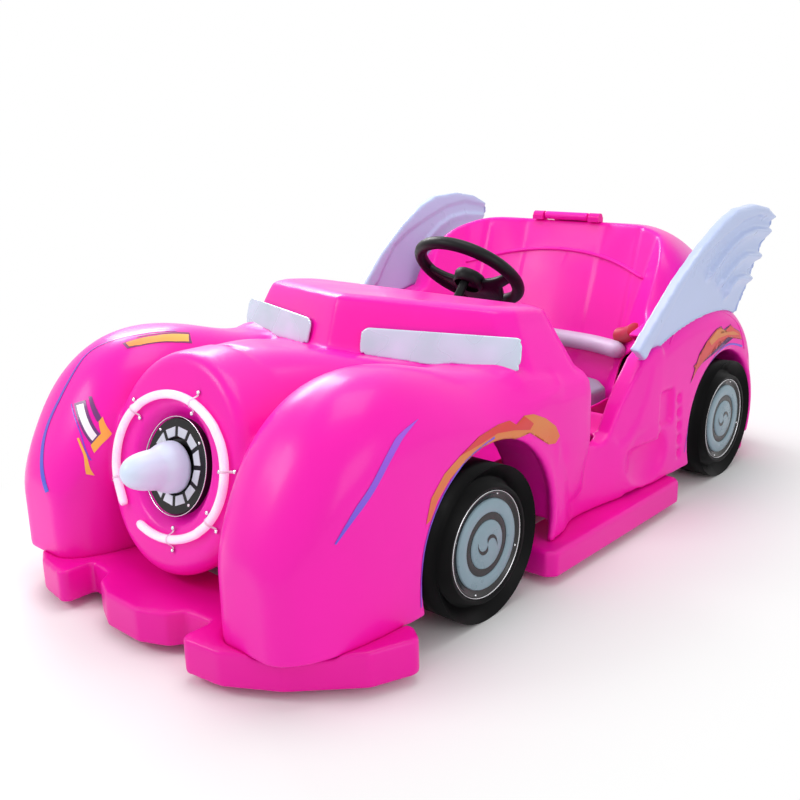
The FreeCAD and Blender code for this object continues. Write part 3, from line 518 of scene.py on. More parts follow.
def decal(name, tree, outline, out, material, lift, cell=6 * MM):
    """A cut vinyl shape with its corners in millimetres, laid on the skin and seen from one side."""
    out = Vector(out).normalized()
    shape = bmesh.new()
    shape.faces.new([shape.verts.new(p) for p in metres(outline)])
    bmesh.ops.triangulate(shape, faces=shape.faces[:])
    for _ in range(5):
        edges = [e for e in shape.edges if e.calc_length() > cell]
        if edges:
            bmesh.ops.subdivide_edges(shape, edges=edges, cuts=1)
            bmesh.ops.triangulate(shape, faces=shape.faces[:])
    for v in shape.verts:
        v.co = stuck(tree, v.co, out, lift)
    bmesh.ops.recalc_face_normals(shape, faces=shape.faces[:])
    mesh = bpy.data.meshes.new(name)
    shape.to_mesh(mesh)
    shape.free()
    put(name, mesh, material, "body")


def widened(outline, by):
    """Outline in the plane across X, pushed outwards by a distance."""
    area = sum(a[1] * b[2] - b[1] * a[2] for a, b in zip(outline, outline[1:] + outline[:1]))
    turn, out = (1 if area > 0 else -1), []
    for i, (x, y, z) in enumerate(outline):
        a, b = Vector(outline[i - 1][1:]), Vector(outline[(i + 1) % len(outline)][1:])
        here = Vector((y, z))
        p, q = (here - a).normalized(), (b - here).normalized()
        push = Vector((p.y + q.y, -p.x - q.x)) * turn
        push = push.normalized() * min(2.2, 1 / max(0.3, push.length / 2)) * by
        out.append((x, y + push.x, z + push.y))
    return out


def piped(line, radius, around, squeeze, sides):
    """Points and faces of a closed round tube along places in metres; squeeze narrows its ends."""
    points, faces, last = [], [], len(line) - 1
    for i, p in enumerate(line):
        ahead = (line[min(i + 1, last)] - line[max(i - 1, 0)]).normalized()
        side, up = sides(ahead)
        wide = radius * squeeze.get(min(i, last - i), 1.0)
        points += [p + (side * math.cos(a) + up * math.sin(a)) * wide for a in radial(around)]
    for i in range(last):
        faces += bridge(i * around, (i + 1) * around, around)
    faces += [tuple(range(around)), tuple(last * around + k for k in range(around))]
    return points, faces


def tube_along(path, radius, around=12):
    """A closed round tube along a smooth curve through places in metres, with rounded ends."""
    def sides(ahead):
        side = ahead.cross(Vector((0, 0, 1))).normalized()
        return side, side.cross(ahead)

    line = [p for p, _ in ribbon(path, lambda t: 2 * radius, 40)]
    return piped(line, radius, around, {0: 0.55, 1: 0.86}, sides)


def metres(points):
    """Points given in millimetres, in metres."""
    return [Vector(p) * MM for p in points]


# ---------------------------------------------------------------- pieces
class RIDECAR_OT_finishes(bpy.types.Operator):
    """Make the materials of the car"""
    bl_idname = "ridecar.finishes"
    bl_label = "Finishes"

    def execute(self, context):
        c = context.scene.ride_car_colours
        MATERIALS.update({
            "shell": moulded_polyethylene("rotomoulded_polyethylene_pink", c.shell, 0.93),
            "base": moulded_polyethylene("rotomoulded_polyethylene_magenta", c.base, 0.92),
            "wing": moulded_wing_plastic(c.wing),
            "film": silvered_film(c.film),
            "tyre": tyre_rubber(c.tyre),
            "cap": plain_plastic("painted_abs_hub_cap", c.cap, 0.3, IOR=1.53),
            "black": plain_plastic("black_abs_gloss", linear("#0A0A0D"), 0.25, IOR=1.53),
            "gloss_black": plain_plastic("black_abs_turbine_ring", linear("#08080B"), 0.3,
                                         **{"Specular IOR Level": 0.3}),
            "grip": plain_plastic("soft_black_pvc", linear("#08080B"), 0.42, 1.6, 0.06,
                                  **{"Specular IOR Level": 0.22}),
            "cone": moulded_polyethylene("moulded_pp_lilac_white", linear("#DCEAFF"), 0.97),
            "window": plain_plastic("frosted_pmma_white", linear("#D9DCE8"), 0.3, IOR=1.49),
            "neon": light_tube(),
            "clip": plain_plastic("clear_polycarbonate_clip", linear("#FFD8F0"), 0.2, IOR=1.58),
            "chrome": coated_steel("chromed_steel_screw", linear("#E6E6EA"), 1.0, 0.16),
            "frame": coated_steel("powder_coated_steel_black", linear("#17181B"), 0.0, 0.45),
            "axle": coated_steel("zinc_plated_steel", linear("#A8AAB0"), 1.0, 0.36),
            "motor": coated_steel("painted_motor_housing", linear("#2E3035"), 0.0, 0.42),
            "battery": plain_plastic("black_pp_battery_case", linear("#1A1B1E"), 0.5, 2.0, 0.08),
            "cushion": cushion_vinyl(c.cushion),
            "webbing": webbing(),
            "stripe": vinyl_sticker("cut_vinyl_blue_to_purple", "#3F55D8", "#7A2FB8", 0.18, 0.40),
            "violet": vinyl_sticker("cut_vinyl_violet", "#8A2FC8", "#6A3FD8", 0.08, 0.30),
            "stripe_left": vinyl_sticker("cut_vinyl_violet_blue", "#5A48D8", "#A24BE0", 0.22, 0.36),
            "flame": vinyl_sticker("cut_vinyl_flame", "#DE4A30", "#D8762C", 0.19, 0.28),
            "red": vinyl_sticker("cut_vinyl_red", "#C4142E", "#DC2A22", 0.24, 0.32),
            "label": vinyl_sticker("cut_vinyl_blank_white", "#F6E8F4", "#FFFFFF", 0.24, 0.32),
            "red_vinyl": cushion_vinyl(linear("#C20E3A"), "embossed_vinyl_red"),
            "roll": cushion_vinyl(linear("#CDB8D8"), "embossed_vinyl_lilac"),
            "yellow": vinyl_sticker("cut_vinyl_yellow", "#FFC04A", "#FF9A3A", 0.2, 0.34),
            "orange": vinyl_sticker("cut_vinyl_orange", "#FF8A2E", "#FFD05A", -0.56, -0.42, "Y"),
            "plum": vinyl_sticker("cut_vinyl_plum", "#5A1E78", "#7A2A6A", 0.2, 0.42),
        })
        return {"FINISHED"}


# Stations of the shoulder in mm: y, heights of its top from the cabin outwards, its outer x, heights of the
# middle and the foot of its side, and its thickness.
SHOULDER = [
    (-262, (366, 366, 357, 342, 326, 302), 370, (286, 284), 14),
    (-240, (366, 368, 360, 344, 327, 304), 371, (288, 286), 14),
    (-215, (368, 372, 366, 350, 328, 305), 371, (288, 286), 14),
    (-180, (366, 370, 363, 348, 328, 304), 372, (284, 280), 14),
    (-140, (360, 360, 355, 343, 326, 303), 373, (250, 205), 22),
    (-110, (354, 353, 349, 339, 325, 301), 373, (220, 130), 30),
    (-80, (352, 350, 346, 337, 323, 300), 372, (215, 110), 34),
    (-50, (349, 347, 343, 334, 321, 298), 370, (212, 110), 34),
    (-30, (346, 344, 340, 331, 318, 295), 367, (210, 120), 34),
]
# Wheel arches in mm and degrees: y, z and radius of the liner, and the angles where it starts and ends.
ARCHES = ((-322, 112, 177, -6, 186), (482, 125, 150, -8, 188))
# Upper edge of the doorway's foot and of the sill behind it, as y and z in mm.
DOOR_EDGE = [(-12, 192), (12, 185), (33, 185), (53, 196), (69, 221), (86, 246), (113, 278), (150, 313)]


def shoulder(side):
    """Top of the front fender from the cabin's foot to the doorway, on one side of the car."""
    rings = []
    for y, top, wide, (middle, foot), thick in SHOULDER:
        inner = 165 if y < -200 else 207
        ring = [(inner, top[0] - 7)] + list(zip((215, 300, 330, 350, 362, wide - 1), top))
        ring += [(wide, middle), (wide - (16 if foot < 200 else 1), foot), (wide - 6 - thick, foot),
                 (wide - thick, top[5] - 8), (wide - 12 - thick, top[3] - 14), (inner, top[0] - 22)]
        rings.append([(side * x, y, z) for x, z in ring])
    return lofted("shoulder", rings)


def across(name, side, outline, inner, outer):
    """Solid with one outline of y and z, between two distances from the car's middle."""
    return lofted(name, [[(side * x, y, z) for y, z in outline] for x in (inner, outer)])


def nose_bridge(side):
    """Strip under the joint between the nose barrel and the hood, on one side of the middle."""
    front, back, thick, drop = -524, -466, 20, 2
    return lofted("nose_bridge", [[(side * x, front, top - thick), (side * x, front, top),
                                   (side * x, back, top - drop), (side * x, back, top - drop - thick)]
                                  for x, top in ((-2, 407.5), (62, 403))])


def sill(side):
    """Broad sill that rises from the foot of the doorway to the rear fender, and widens towards it."""
    outline = [(-12, 150)] + [(y, z + 2) for y, z in DOOR_EDGE] + [(186, 334), (214, 334), (214, 150)]
    return lofted("sill", [[(side * 326, y, z) for y, z in outline],
                           [(side * (350.5 + (y - 20) * 0.119), y, z) for y, z in outline]])


def doorway(side):
    """Space that a child's legs pass through, cut out of one side of the skin."""
    outline = [(-26, 430), (-24, 214)] + DOOR_EDGE + [(176, 346), (186, 430)]
    return across("doorway", side, outline, 228, 420)


def beside_seat(side):
    """Space beside the seat cushion that leaves its side open to the doorway."""
    outline = [(20, 204), (150, 204), (318, 216), (318, 268), (262, 322), (186, 360), (20, 360)]
    return across("beside_seat", side, outline, 225, 322)


def rounded_back(p):
    """Turns the flat panels of the backrest into one hollow curve."""
    x, y, z = abs(p.x) / MM, p.y / MM, p.z / MM
    if x > 205 or y < 318 or y > 440 or z < 240:
        return p
    flat = 345 if x < 90 else 345 - 27 * (x - 90) / 100 if x < 190 else 318 - 56 * (x - 190) / 50
    curved = 347.5 - 27.5 * (x / 190) ** 2
    hold = min(1.0, (205 - x) / 25, (y - 318) / 8, (440 - y) / 20, (z - 240) / 20)
    return p + Vector((0, (curved - flat) * hold * MM, 0))


def wheel_well(side, y, z, radius, first, last):
    """Liner that closes a wheel arch above the tyre."""
    rings = []
    for i in range(25):
        a = math.radians(first + (last - first) * i / 24)
        rings.append([(side * x, y + r * math.cos(a), z + r * math.sin(a))
                      for x, r in ((266, radius), (364, radius), (364, radius + 8), (266, radius + 8))])
    return lofted("wheel_well", rings)


def tail_lamp(side):
    """Small moulded lamp housing on the outer rear edge of a rear fender."""
    rings = []
    for i in range(9):
        t = math.pi * i / 8
        r = 0.75 * (13 * math.sin(t) + 0.6)
        rings.append([(side * (366 + r * math.cos(a)), 608 + r * math.sin(a), 236 - 18 * math.cos(t))
                      for a in radial(10)])
    return lofted("tail_lamp", rings)


class RIDECAR_OT_body(bpy.types.Operator):
    """Mould the body's skin over the front, the cabin, the doorways and the rear"""
    bl_idname = "ridecar.body"
    bl_label = "Body Skin"

    def execute(self, context):
        s = context.scene.ride_car_sizes
        nodes = ("body_front", "body_rear", "cabin_top", "cockpit_liner", "door_ledge_left",
                 "door_ledge_right", "dash_panel", "floor_tub")
        added = [form(side) for form in (shoulder, nose_bridge, sill, tail_lamp) for side in (1, -1)]
        added += [wheel_well(side, *arch) for arch in ARCHES for side in (1, -1)]
        removed = [form(side) for form in (doorway, beside_seat) for side in (1, -1)]
        skin = soft_skin("body_skin", nodes, s.voxel, s.rounding, faces=190000,
                         carve=rounded_back, added=added, removed=removed)
        dress(skin, "shell", "body", "pink_shell", *nodes)
        lid = soft_skin("rear_lid_skin", ("rear_lid",), s.voxel * 0.6, s.rounding // 2,
                        faces=30000)
        dress(lid, "shell", "rear_lid", "pink_shell", "rear_lid")
        paint("base", "lid_hinge")
        return {"FINISHED"}


class RIDECAR_OT_base(bpy.types.Operator):
    """Round the bumpers and the running boards"""
    bl_idname = "ridecar.base"
    bl_label = "Bumper Base"

    def execute(self, context):
        s = context.scene.ride_car_sizes
        for node in ("front_bumper", "rear_bumper", "running_board_left", "running_board_right"):
            piece = soft_skin(node + "_skin", (node,), s.voxel, s.rounding, faces=30000)
            dress(piece, "base", "body", "pink_base", node)
        return {"FINISHED"}


# The wing's smooth leading band ends on the first line, and the ridges between its feathers follow the
# others, as y and z in mm.
FEATHER_EDGE = [
    (207, 391), (239, 430), (279, 471), (334, 500), (403, 524), (488, 549), (568, 556), (690, 532)
]
FEATHER_RIDGES = [
    [(383, 452), (412, 473), (457, 498), (505, 514), (563, 519), (680, 506)],
    [(443, 429), (471, 447), (503, 462), (542, 470), (640, 458)],
    [(479, 401), (488, 414), (510, 423), (545, 423), (610, 411)],
]


def near_line(y, z, line):
    """Distance in mm from a point to a broken line, and the side: positive above it."""
    best, side = 1e9, 1.0
    for (y0, z0), (y1, z1) in zip(line, line[1:]):
        dy, dz = y1 - y0, z1 - z0
        t = max(0.0, min(1.0, ((y - y0) * dy + (z - z0) * dz) / (dy * dy + dz * dz)))
        gap = math.hypot(y - y0 - t * dy, z - z0 - t * dz)
        if gap < best:
            best, side = gap, 1.0 if dy * (z - z0) - dz * (y - y0) > 0 else -1.0
    return best, side


# Over how many mm the carving starts behind the leading band, how wide a ridge is above and below its line,
# and how far the wing leans outwards for each mm of height, from its middle height.
CARVE_BLEND = 12
RIDGE_ABOVE, RIDGE_BELOW = 5, 13
WING_MIDDLE, WING_LEAN = 450, 0.11


class RIDECAR_OT_wings(bpy.types.Operator):
    """Carve the feathers into both wings"""
    bl_idname = "ridecar.wings"
    bl_label = "Wings"

    def execute(self, context):
        s = context.scene.ride_car_sizes
        for side, word in ((1, "left"), (-1, "right")):
            node = "wing_" + word
            middle = span(node)[2]

            def carve(p):
                y, z = p.y / MM, p.z / MM
                gap, above = near_line(y, z, FEATHER_EDGE)
                if above > 0:
                    return p
                drop = min(1.0, gap / CARVE_BLEND)
                drop = drop * drop * (3 - 2 * drop)
                for line in FEATHER_RIDGES:
                    near, over = near_line(y, z, line)
                    wide = RIDGE_ABOVE if over > 0 else RIDGE_BELOW
                    drop *= 1 - 0.97 * math.exp(-(near / wide) ** 2)
                plane = middle.x + side * (z - WING_MIDDLE) * MM * WING_LEAN
                outward = (p.x - plane) * side > 0
                depth = s.feather * drop * (1 if outward else 0.4)
                return p - Vector((depth * side * (1 if outward else -1), 0, 0))

            piece = soft_skin("wing_%s_feathers" % word, (node,), s.voxel * 0.75, 2 * s.rounding,
                              faces=60000, carve=carve)
            dress(piece, "wing", "body", "white_wing", node)
        return {"FINISHED"}


class RIDECAR_OT_windscreen(bpy.types.Operator):
    """Round the two windscreen panels and silver them"""
    bl_idname = "ridecar.windscreen"
    bl_label = "Windscreen"

    def execute(self, context):
        for word in ("left", "right"):
            node = "windscreen_" + word
            piece = soft_skin("screen_panel_" + word, (node,), 1.6 * MM, 4, faces=12000)
            self.round_corners(piece, 16 * MM)
            dress(piece, "film", "body", "screen_film", node)
        return {"FINISHED"}

    def round_corners(self, piece, bend):
        """Pulls the four corners of a thin panel inwards to a radius."""
        vertices = piece.data.vertices
        middle = sum((v.co for v in vertices), Vector()) / len(vertices)
        front = (f.normal * f.area for f in piece.data.polygons if f.normal.y < -0.3)
        normal = sum(front, Vector()).normalized()
        along = normal.cross(Vector((0, 0, 1))).normalized()
        rise = along.cross(normal).normalized()
        half = max((v.co - middle).dot(along) for v in vertices)
        tall = max((v.co - middle).dot(rise) for v in vertices)
        for v in vertices:
            u, w = (v.co - middle).dot(along), (v.co - middle).dot(rise)
            a, b = abs(u) - (half - bend), abs(w) - (tall - bend)
            if a > 0 and b > 0:
                pull = 1 - max(a, b) / math.hypot(a, b)
                v.co -= along * math.copysign(a * pull, u) + rise * math.copysign(b * pull, w)


# Arcs of the light tube on the nose face: middle to the left and upwards and radius in mm, start and end in
# degrees.
TUBE_ARCS = ((0, 54.9, 163.9, 252, 306), (40, 0, 95, 306, 414), (0, -54.9, 163.9, 54, 126),
             (-40, 0, 95, 126, 218))
# Straps over the tube: middle and radius of the arc, and the angle. STRAP_BEND is a strap's shape, across
# the tube and into the nose, in mm.
STRAPS = ((-40, 0, 95, 132), (-40, 0, 95, 208), (0, -54.9, 163.9, 76), (40, 0, 95, 12), (40, 0, 95, -38),
          (0, 54.9, 163.9, 281))
STRAP_BEND = ((-19, 7), (-12, 6.4), (-8.6, 1), (-6.6, -5.4), (0, -8.3), (6.6, -5.4), (8.6, 1), (12, 6.4),
              (19, 7))
# Corners of a turbine window: radius in mm, and angle from the window's middle.
WINDOW = ((46, -0.19), (46, 0.19), (61, 0.205), (61, -0.205))
# Two stepped blunt domes on one axis, along and radius in mm.
CONE_PROFILE = ((0, 36), (3, 39.5), (9, 41), (20, 40), (29, 37.2), (35, 34), (40, 31.8), (48, 31), (60, 29.6),
                (72, 27.2), (82, 23.4), (90, 17.6), (95.5, 9.5), (97.5, 3), (97.8, 0.01))


def on_tube(right, up, bend, degrees):
    """Place on an arc of the light tube, and the directions outwards from the arc and along it."""
    a = math.radians(degrees)
    out, along = Vector((math.cos(a), 0, math.sin(a))), Vector((-math.sin(a), 0, math.cos(a)))
    return Vector((right + bend * math.cos(a), -TUBE_AHEAD, up + bend * math.sin(a))) * MM, out, along


class RIDECAR_OT_nose(bpy.types.Operator):
    """Build the turbine ring, its windows and cone, the light tube, its clips and screws"""
    bl_idname = "ridecar.nose"
    bl_label = "Turbine Nose"

    def execute(self, context):
        s = context.scene.ride_car_sizes
        face = nose_face(s.nose_lean)
        paint("gloss_black", "nose_grille")
        self.windows(face)
        self.cone(face, s.nose_lean - s.cone_lean)
        self.tube(face, s.neon_radius)
        self.straps(face)
        return {"FINISHED"}

    def windows(self, face):
        """Twelve pale windows round the turbine ring, four small screws and a thin bright edge."""
        points, faces = [], []
        for a in radial(12, 0.2):
            faces.append(tuple(range(len(points), len(points) + 4)))
            faces += bridge(len(points), len(points) + 4, 4)
            points += [Vector((r * math.sin(a + da), y, r * math.cos(a + da))) * MM for y in (7.2, 9.2)
                       for r, da in WINDOW]
        mesh = mesh_of("turbine_windows", points, faces, face)
        piece = put("turbine_windows", mesh, "window", "body", False)
        modify(piece, "BEVEL", width=0.9 * MM, segments=2)
        settle(piece)
        spots = [Vector((68 * math.sin(a), 7.6, 68 * math.cos(a))) * MM
                 for a in (math.radians(d) for d in (48, 138, 228, 315))]
        screws("turbine_screws", face, spots, 2.6 * MM, "body")
        edge = face @ Matrix.Translation((0, 8 * MM, 0)) @ Matrix.Rotation(-math.pi / 2, 4, "Z")
        lathe("turbine_edge", ((0, 76.4), (1.2, 77.2), (2.4, 76.4), (1.2, 75.7)), 72, "chrome", "body",
              edge, True)

    def cone(self, face, lift):
        """The cone, which points up more than the nose face does."""
        tip = Matrix.Rotation(lift, 4, "X") @ Matrix.Rotation(-math.pi / 2, 4, "Z")
        place = face @ Matrix.Translation((0, 11 * MM, 0)) @ tip
        piece = lathe("turbine_cone", CONE_PROFILE, 56, "cone", "body", place)
        modify(piece, "SUBSURF", levels=1, render_levels=1)
        settle(piece)
        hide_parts("nose_cone")

    def tube(self, face, radius):
        """The light tube round the nose, open at its foot."""
        line = [on_tube(right, up, bend, first + (last - first) * i / 22)[0]
                for right, up, bend, first, last in TUBE_ARCS for i in range(22)]
        right, up, bend, _, last = TUBE_ARCS[-1]
        end, _, along = on_tube(right, up, bend, last)
        line += [end + along * t * MM for t in (0, 8, 16, 24, 30)]
        into = Vector((0, 1, 0))
        points, faces = piped(line, radius, 16, {0: 0.8}, lambda ahead: (ahead.cross(into), into))
        piece = put("light_tube", mesh_of("light_tube", points, faces, face), "neon", "body")
        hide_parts("neon_tube")

    def straps(self, face):
        """Clear straps that hold the light tube, with two screws each."""
        points, faces, spots = [], [], []
        for strap in STRAPS:
            spot, out, along = on_tube(*strap)
            faces += ladder(len(points), len(STRAP_BEND) - 1)
            points += [spot + (out * over + Vector((0, deep, 0)) + along * w) * MM
                       for over, deep in STRAP_BEND for w in (-2.2, 2.2)]
            spots += [spot + (out * d + Vector((0, 5.2, 0))) * MM for d in (-17, 17)]
        piece = put("tube_straps", mesh_of("tube_straps", points, faces, face), "clip", "body")
        modify(piece, "SOLIDIFY", thickness=1.1 * MM, offset=0)
        modify(piece, "SUBSURF", levels=1, render_levels=1)
        settle(piece)
        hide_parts("neon_clips")
        screws("tube_screws", face, spots, 3.4 * MM, "body")


class RIDECAR_OT_wheels(bpy.types.Operator):
    """Turn the four tyres and their hub caps"""
    bl_idname = "ridecar.wheels"
    bl_label = "Wheels"

    def execute(self, context):
        for end in ("front", "rear"):
            for side, word in ((1, "left"), (-1, "right")):
                self.wheel("%s_%s" % (end, word), side)
        return {"FINISHED"}

    def wheel(self, which, side):
        """One tyre with its rim, and the bands, screws and swirl of its hub cap, from sizes in mm."""
        low, high, middle = span("tyre_" + which)
        body = "wheel_" + which
        hub_low, hub_high, _ = span(body)
        rim = (hub_high.z - hub_low.z) / 2 / MM
        half, r = (high.x - low.x) / 2 / MM, (high.z - low.z) / 2 / MM
        place = Matrix.Translation(middle) @ Matrix.Rotation(0 if side > 0 else math.pi, 4, "Z")
        face = [(half - 4, rim), (half - 1, rim + 3), (half, rim + 8)]
        groove = [24 * (1 - math.sin(math.radians(a))) for a in range(0, 91, 9)]
        face += [(half - deep, r - deep) for deep in groove]
        ring = face + [(-x, radius) for x, radius in reversed(face)]
        tyre = lathe("tyre_%s_rubber" % which, ring, 72, "tyre", body, place, True)
        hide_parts("tyre_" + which)
        outer = (hub_high.x - middle.x if side > 0 else middle.x - hub_low.x) / MM
        bands = (
            ("rim", [(-outer, 20), (-outer, rim), (outer - 3, rim), (outer - 1, rim - 1.5),
                     (outer - 1, rim - 4.5), (outer - 4, rim - 6), (outer - 4, 70)], "black"),
            ("pale_ring", [(outer - 4, 72.6), (outer - 1.5, 71.8), (outer - 0.6, 70.5), (outer - 0.6, 52.8),
                           (outer - 1.5, 51.4), (outer - 4, 50.6)], "cap"),
            ("dark_ring", [(outer - 3.2, 52), (outer - 2.6, 50), (outer - 2.6, 40), (outer - 3.2, 38)],
             "black"),
            ("inner_disc", [(outer - 4, 39.2), (outer - 1.5, 38.5), (outer - 0.6, 37), (outer - 0.6, 12),
                            (outer - 0.6, 0.01)], "cap"),
            ("line", [(outer - 1.2, 85.6), (outer + 0.1, 85), (outer - 1.2, 84.4)], "chrome"),
        )
        for name, profile, material in bands:
            piece = lathe("hub_%s_%s" % (name, which), profile, 72, material, body, place)
            if name == "rim":
                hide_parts(body)
        spots = [Vector((80.5 * math.sin(a), 3.6 - outer, 80.5 * math.cos(a))) * MM
                 for a in (math.radians(d) for d in (20, 110, 200, 290))]
        screws("hub_screws_" + which, place @ Matrix.Rotation(math.pi / 2, 4, "Z"), spots, 2.2 * MM, body)
        self.swirl(which, place, outer, body)

    def swirl(self, which, place, outer, body):
        """Two curved vanes round a small centre, raised from the cap."""
        points, faces = [], []
        for turn in (0, math.pi):
            faces += ladder(len(points), 20)
            for i in range(21):
                t = i / 20
                a = turn + math.radians(96 - 118 * t)
                middle = 3 + 23 * t ** 0.8
                wide = (10.5 * (1 - t) ** 0.45 + 1.2) * math.sin(math.pi * (0.5 - 0.5 * t) + 0.15)
                points += [Vector((outer, r * math.cos(a), r * math.sin(a))) * MM
                           for r in (middle - 0.45 * wide, middle + 0.45 * wide)]
        mesh = mesh_of("swirl", points, faces, place)
        put("hub_swirl_" + which, mesh, "black", body, False)


class RIDECAR_OT_steering(bpy.types.Operator):
    """Form the steering wheel with its broad lower spoke"""
    bl_idname = "ridecar.steering"
    bl_label = "Steering Wheel"

    def execute(self, context):
        grip = context.scene.ride_car_sizes.rim_grip / MM
        joint = next(j for j in frame["joints"] if j["name"] == "steering_wheel_turn")
        axis = Vector(joint["axis"]).normalized()
        up = Vector((1, 0, 0)).cross(axis).normalized()
        if up.z < 0:
            up = -up
        basis = Matrix((up.cross(axis), up, axis)).transposed().to_4x4()
        place = Matrix.Translation(joint["pos_m"]) @ basis
        flat = Matrix.Rotation(-math.pi / 2, 4, "Y")
        ring = 105.5
        rim = [(grip * math.sin(a), ring + grip * math.cos(a)) for a in radial(16)]
        hub = [(-26, 26), (-24, 30), (-6, 33), (-1, 31), (1, 26), (1.5, 0.01)]
        stem = [(-340, 9), (-20, 9)]
        points, faces = [], []
        for profile, count, closed, drop in ((rim, 80, True, 0), (hub, 40, False, 10),
                                             (stem, 24, False, 0)):
            more, more_faces = turned([(x * MM, r * MM) for x, r in profile], count, closed)
            faces += [tuple(len(points) + i for i in f) for f in more_faces]
            points += [Matrix.Translation((0, -drop * MM, 0)) @ flat @ p for p in more]
        self.spoke(points, faces)
        mesh = mesh_of("steering", points, faces, place)
        piece = put("steering_wheel_rim", mesh, "grip", "steering_wheel")
        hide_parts("steering_wheel")
        paint("frame", "steering_column")
        return {"FINISHED"}

    def spoke(self, points, faces):
        """Adds the broad dished plate across the wheel, open at both sides and with a wavy top edge."""
        start, rows = len(points), 24
        for i in range(rows + 1):
            t = 2 * i / rows - 1
            top = -12 + 26 * abs(t) ** 3 + 9 * math.exp(-(t / 0.16) ** 2)
            gap = max(0.0, min(1.0, (abs(t) - 0.4) / 0.3))
            low = top - (70 - 46 * gap * gap * (3 - 2 * gap))
            dish = -12 * (1 - abs(t) ** 2)
            points += metres((100 * t, y, z) for y, z in (
                (top, dish + 6), (top + 2, dish), (top, dish - 6), (low, dish - 6), (low - 2, dish),
                (low, dish + 6)))
        for i in range(rows):
            faces += bridge(start + i * 6, start + (i + 1) * 6, 6)
        end = start + rows * 6
        faces += [tuple(range(start, start + 6)), tuple(reversed(range(end, end + 6)))]


class RIDECAR_OT_seat(bpy.types.Operator):
    """Plump the seat cushion and lay the lap belt over it"""
    bl_idname = "ridecar.seat"
    bl_label = "Seat"

    def execute(self, context):
        mesh = NODES["seat_cushion"].data.copy()
        mesh.materials.clear()
        piece = put("seat_cushion_vinyl", mesh, "cushion", "body")
        modify(piece, "REMESH", mode="VOXEL", voxel_size=5 * MM)
        modify(piece, "SMOOTH", iterations=20)
        settle(piece)
        piece.data.shade_smooth()
        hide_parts("seat_cushion")
        self.rolls()
        self.belt()
        return {"FINISHED"}

    def rolls(self):
        """Padded roll along the foot of the backrest, with a red end at the car's left."""
        for name, path, radius, material in (
                ("backrest_roll", [(-236, 300, 289), (-160, 345, 285), (-80, 362, 283), (0, 366, 283),
                                   (80, 362, 283), (160, 345, 285), (236, 300, 289)], 18, "roll"),
                ("backrest_end", [(206, 338, 311), (232, 326, 318), (252, 312, 328), (266, 300, 336)], 17,
                 "red_vinyl")):
            points, faces = tube_along(metres(path), radius * MM, 20)
            piece = put(name, mesh_of(name, points, faces), material, "body")

    def belt(self):
        """Flat strap across the cushion, a little higher in the middle."""
        low, high, _ = span("seat_belt")
        points, steps = [], 40
        for i in range(steps + 1):
            t = 2 * i / steps - 1
            x, z = t * (high.x - low.x) / 2, low.z + (3 + 2.8 * (1 - t * t)) * MM
            points += [(x, low.y, z), (x, high.y, z)]
        mesh = bpy.data.meshes.new("belt")
        mesh.from_pydata(points, [], ladder(0, steps))
        piece = put("lap_belt", mesh, "webbing", "body")
        modify(piece, "SOLIDIFY", thickness=1.6 * MM)
        settle(piece)
        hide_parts("seat_belt")
        paint("black", "belt_buckle")


class RIDECAR_OT_running_gear(bpy.types.Operator):
    """Finish the chassis, axles, motor, battery and pedal"""
    bl_idname = "ridecar.running_gear"
    bl_label = "Running Gear"

    def execute(self, context):
        paint("frame", "chassis_frame", "front_axle_beam", "knuckle_left", "knuckle_right")
        paint("axle", "tie_rod", "rear_axle")
        paint("motor", "drive_motor")
        paint("battery", "battery")
        paint("black", "foot_pedal")
        return {"FINISHED"}


# Outlines of the cut vinyl, as x, y and z in mm near the skin. Those over the wheels are the left side's.
FLAME_FRONT = [
    (375, -486, 204), (375, -474, 240), (375, -444, 268), (374, -407, 285), (373, -361, 302),
    (370, -310, 307), (369, -279, 306), (371, -264, 296), (370, -241, 305), (371, -217, 302),
    (372, -183, 287), (371, -154, 267), (370, -142, 247), (371, -153, 237), (371, -173, 240),
    (372, -198, 260), (372, -228, 274), (373, -273, 286), (374, -316, 290), (374, -355, 284),
    (374, -401, 271), (375, -432, 256), (375, -460, 232), (375, -475, 208)
]
FLAME_FRONT_RED = [
    (374, -407, 285), (373, -361, 301.5), (370, -311, 306.5), (369, -279, 305.5), (371, -264, 295.5),
    (370, -241, 304), (372, -218, 287), (372, -228, 279), (372, -272, 289), (372, -314, 295),
    (373, -355, 290)
]
FLAME_REAR = [
    (376, 328, 240), (376, 343, 265), (376, 337, 271), (376, 348, 275), (376, 358, 291), (376, 366, 289),
    (377, 386, 311), (377, 409, 322), (377, 429, 330), (377, 450, 332), (377, 454, 317), (377, 464, 319),
    (377, 497, 328), (377, 491, 321), (377, 517, 317), (377, 546, 305), (377, 561, 287), (377, 517, 299),
    (377, 485, 304), (377, 440, 302), (377, 407, 288), (376, 374, 272), (376, 352, 262)
]
FLAME_REAR_ORANGE = [
    (377, 396, 312), (377, 429, 328), (377, 449, 330), (377, 450, 318), (377, 483, 316), (377, 514, 312),
    (377, 543, 300), (377, 516, 304), (377, 484, 310), (377, 439, 310), (377, 408, 301)
]
PLUM_BLOCK = [(-229, -661, 315), (-211, -653, 323), (-169, -656, 270), (-176, -669, 257)]
BLANK_LABEL = [(-222, -661, 313), (-211, -655, 317), (-174, -659, 271), (-177, -667, 263)]
PLUM_BAR = [
    (-209, -648, 328), (-204, -646, 329), (-180, -648, 302), (-176, -649, 296), (-179, -652, 291),
    (-188, -653, 302)
]
CHEVRON = [
    (-178, -652, 292), (-176, -645, 299), (-163, -646, 274), (-172, -669, 244), (-177, -669, 256),
    (-171, -655, 274)
]
STRIP = [
    (-225, -558, 398), (-213, -559, 394), (-205, -543, 396), (-199, -521, 396), (-190, -482, 392),
    (-187, -457, 388), (-202, -445, 396), (-206, -470, 400), (-211, -507, 403), (-219, -538, 402)
]
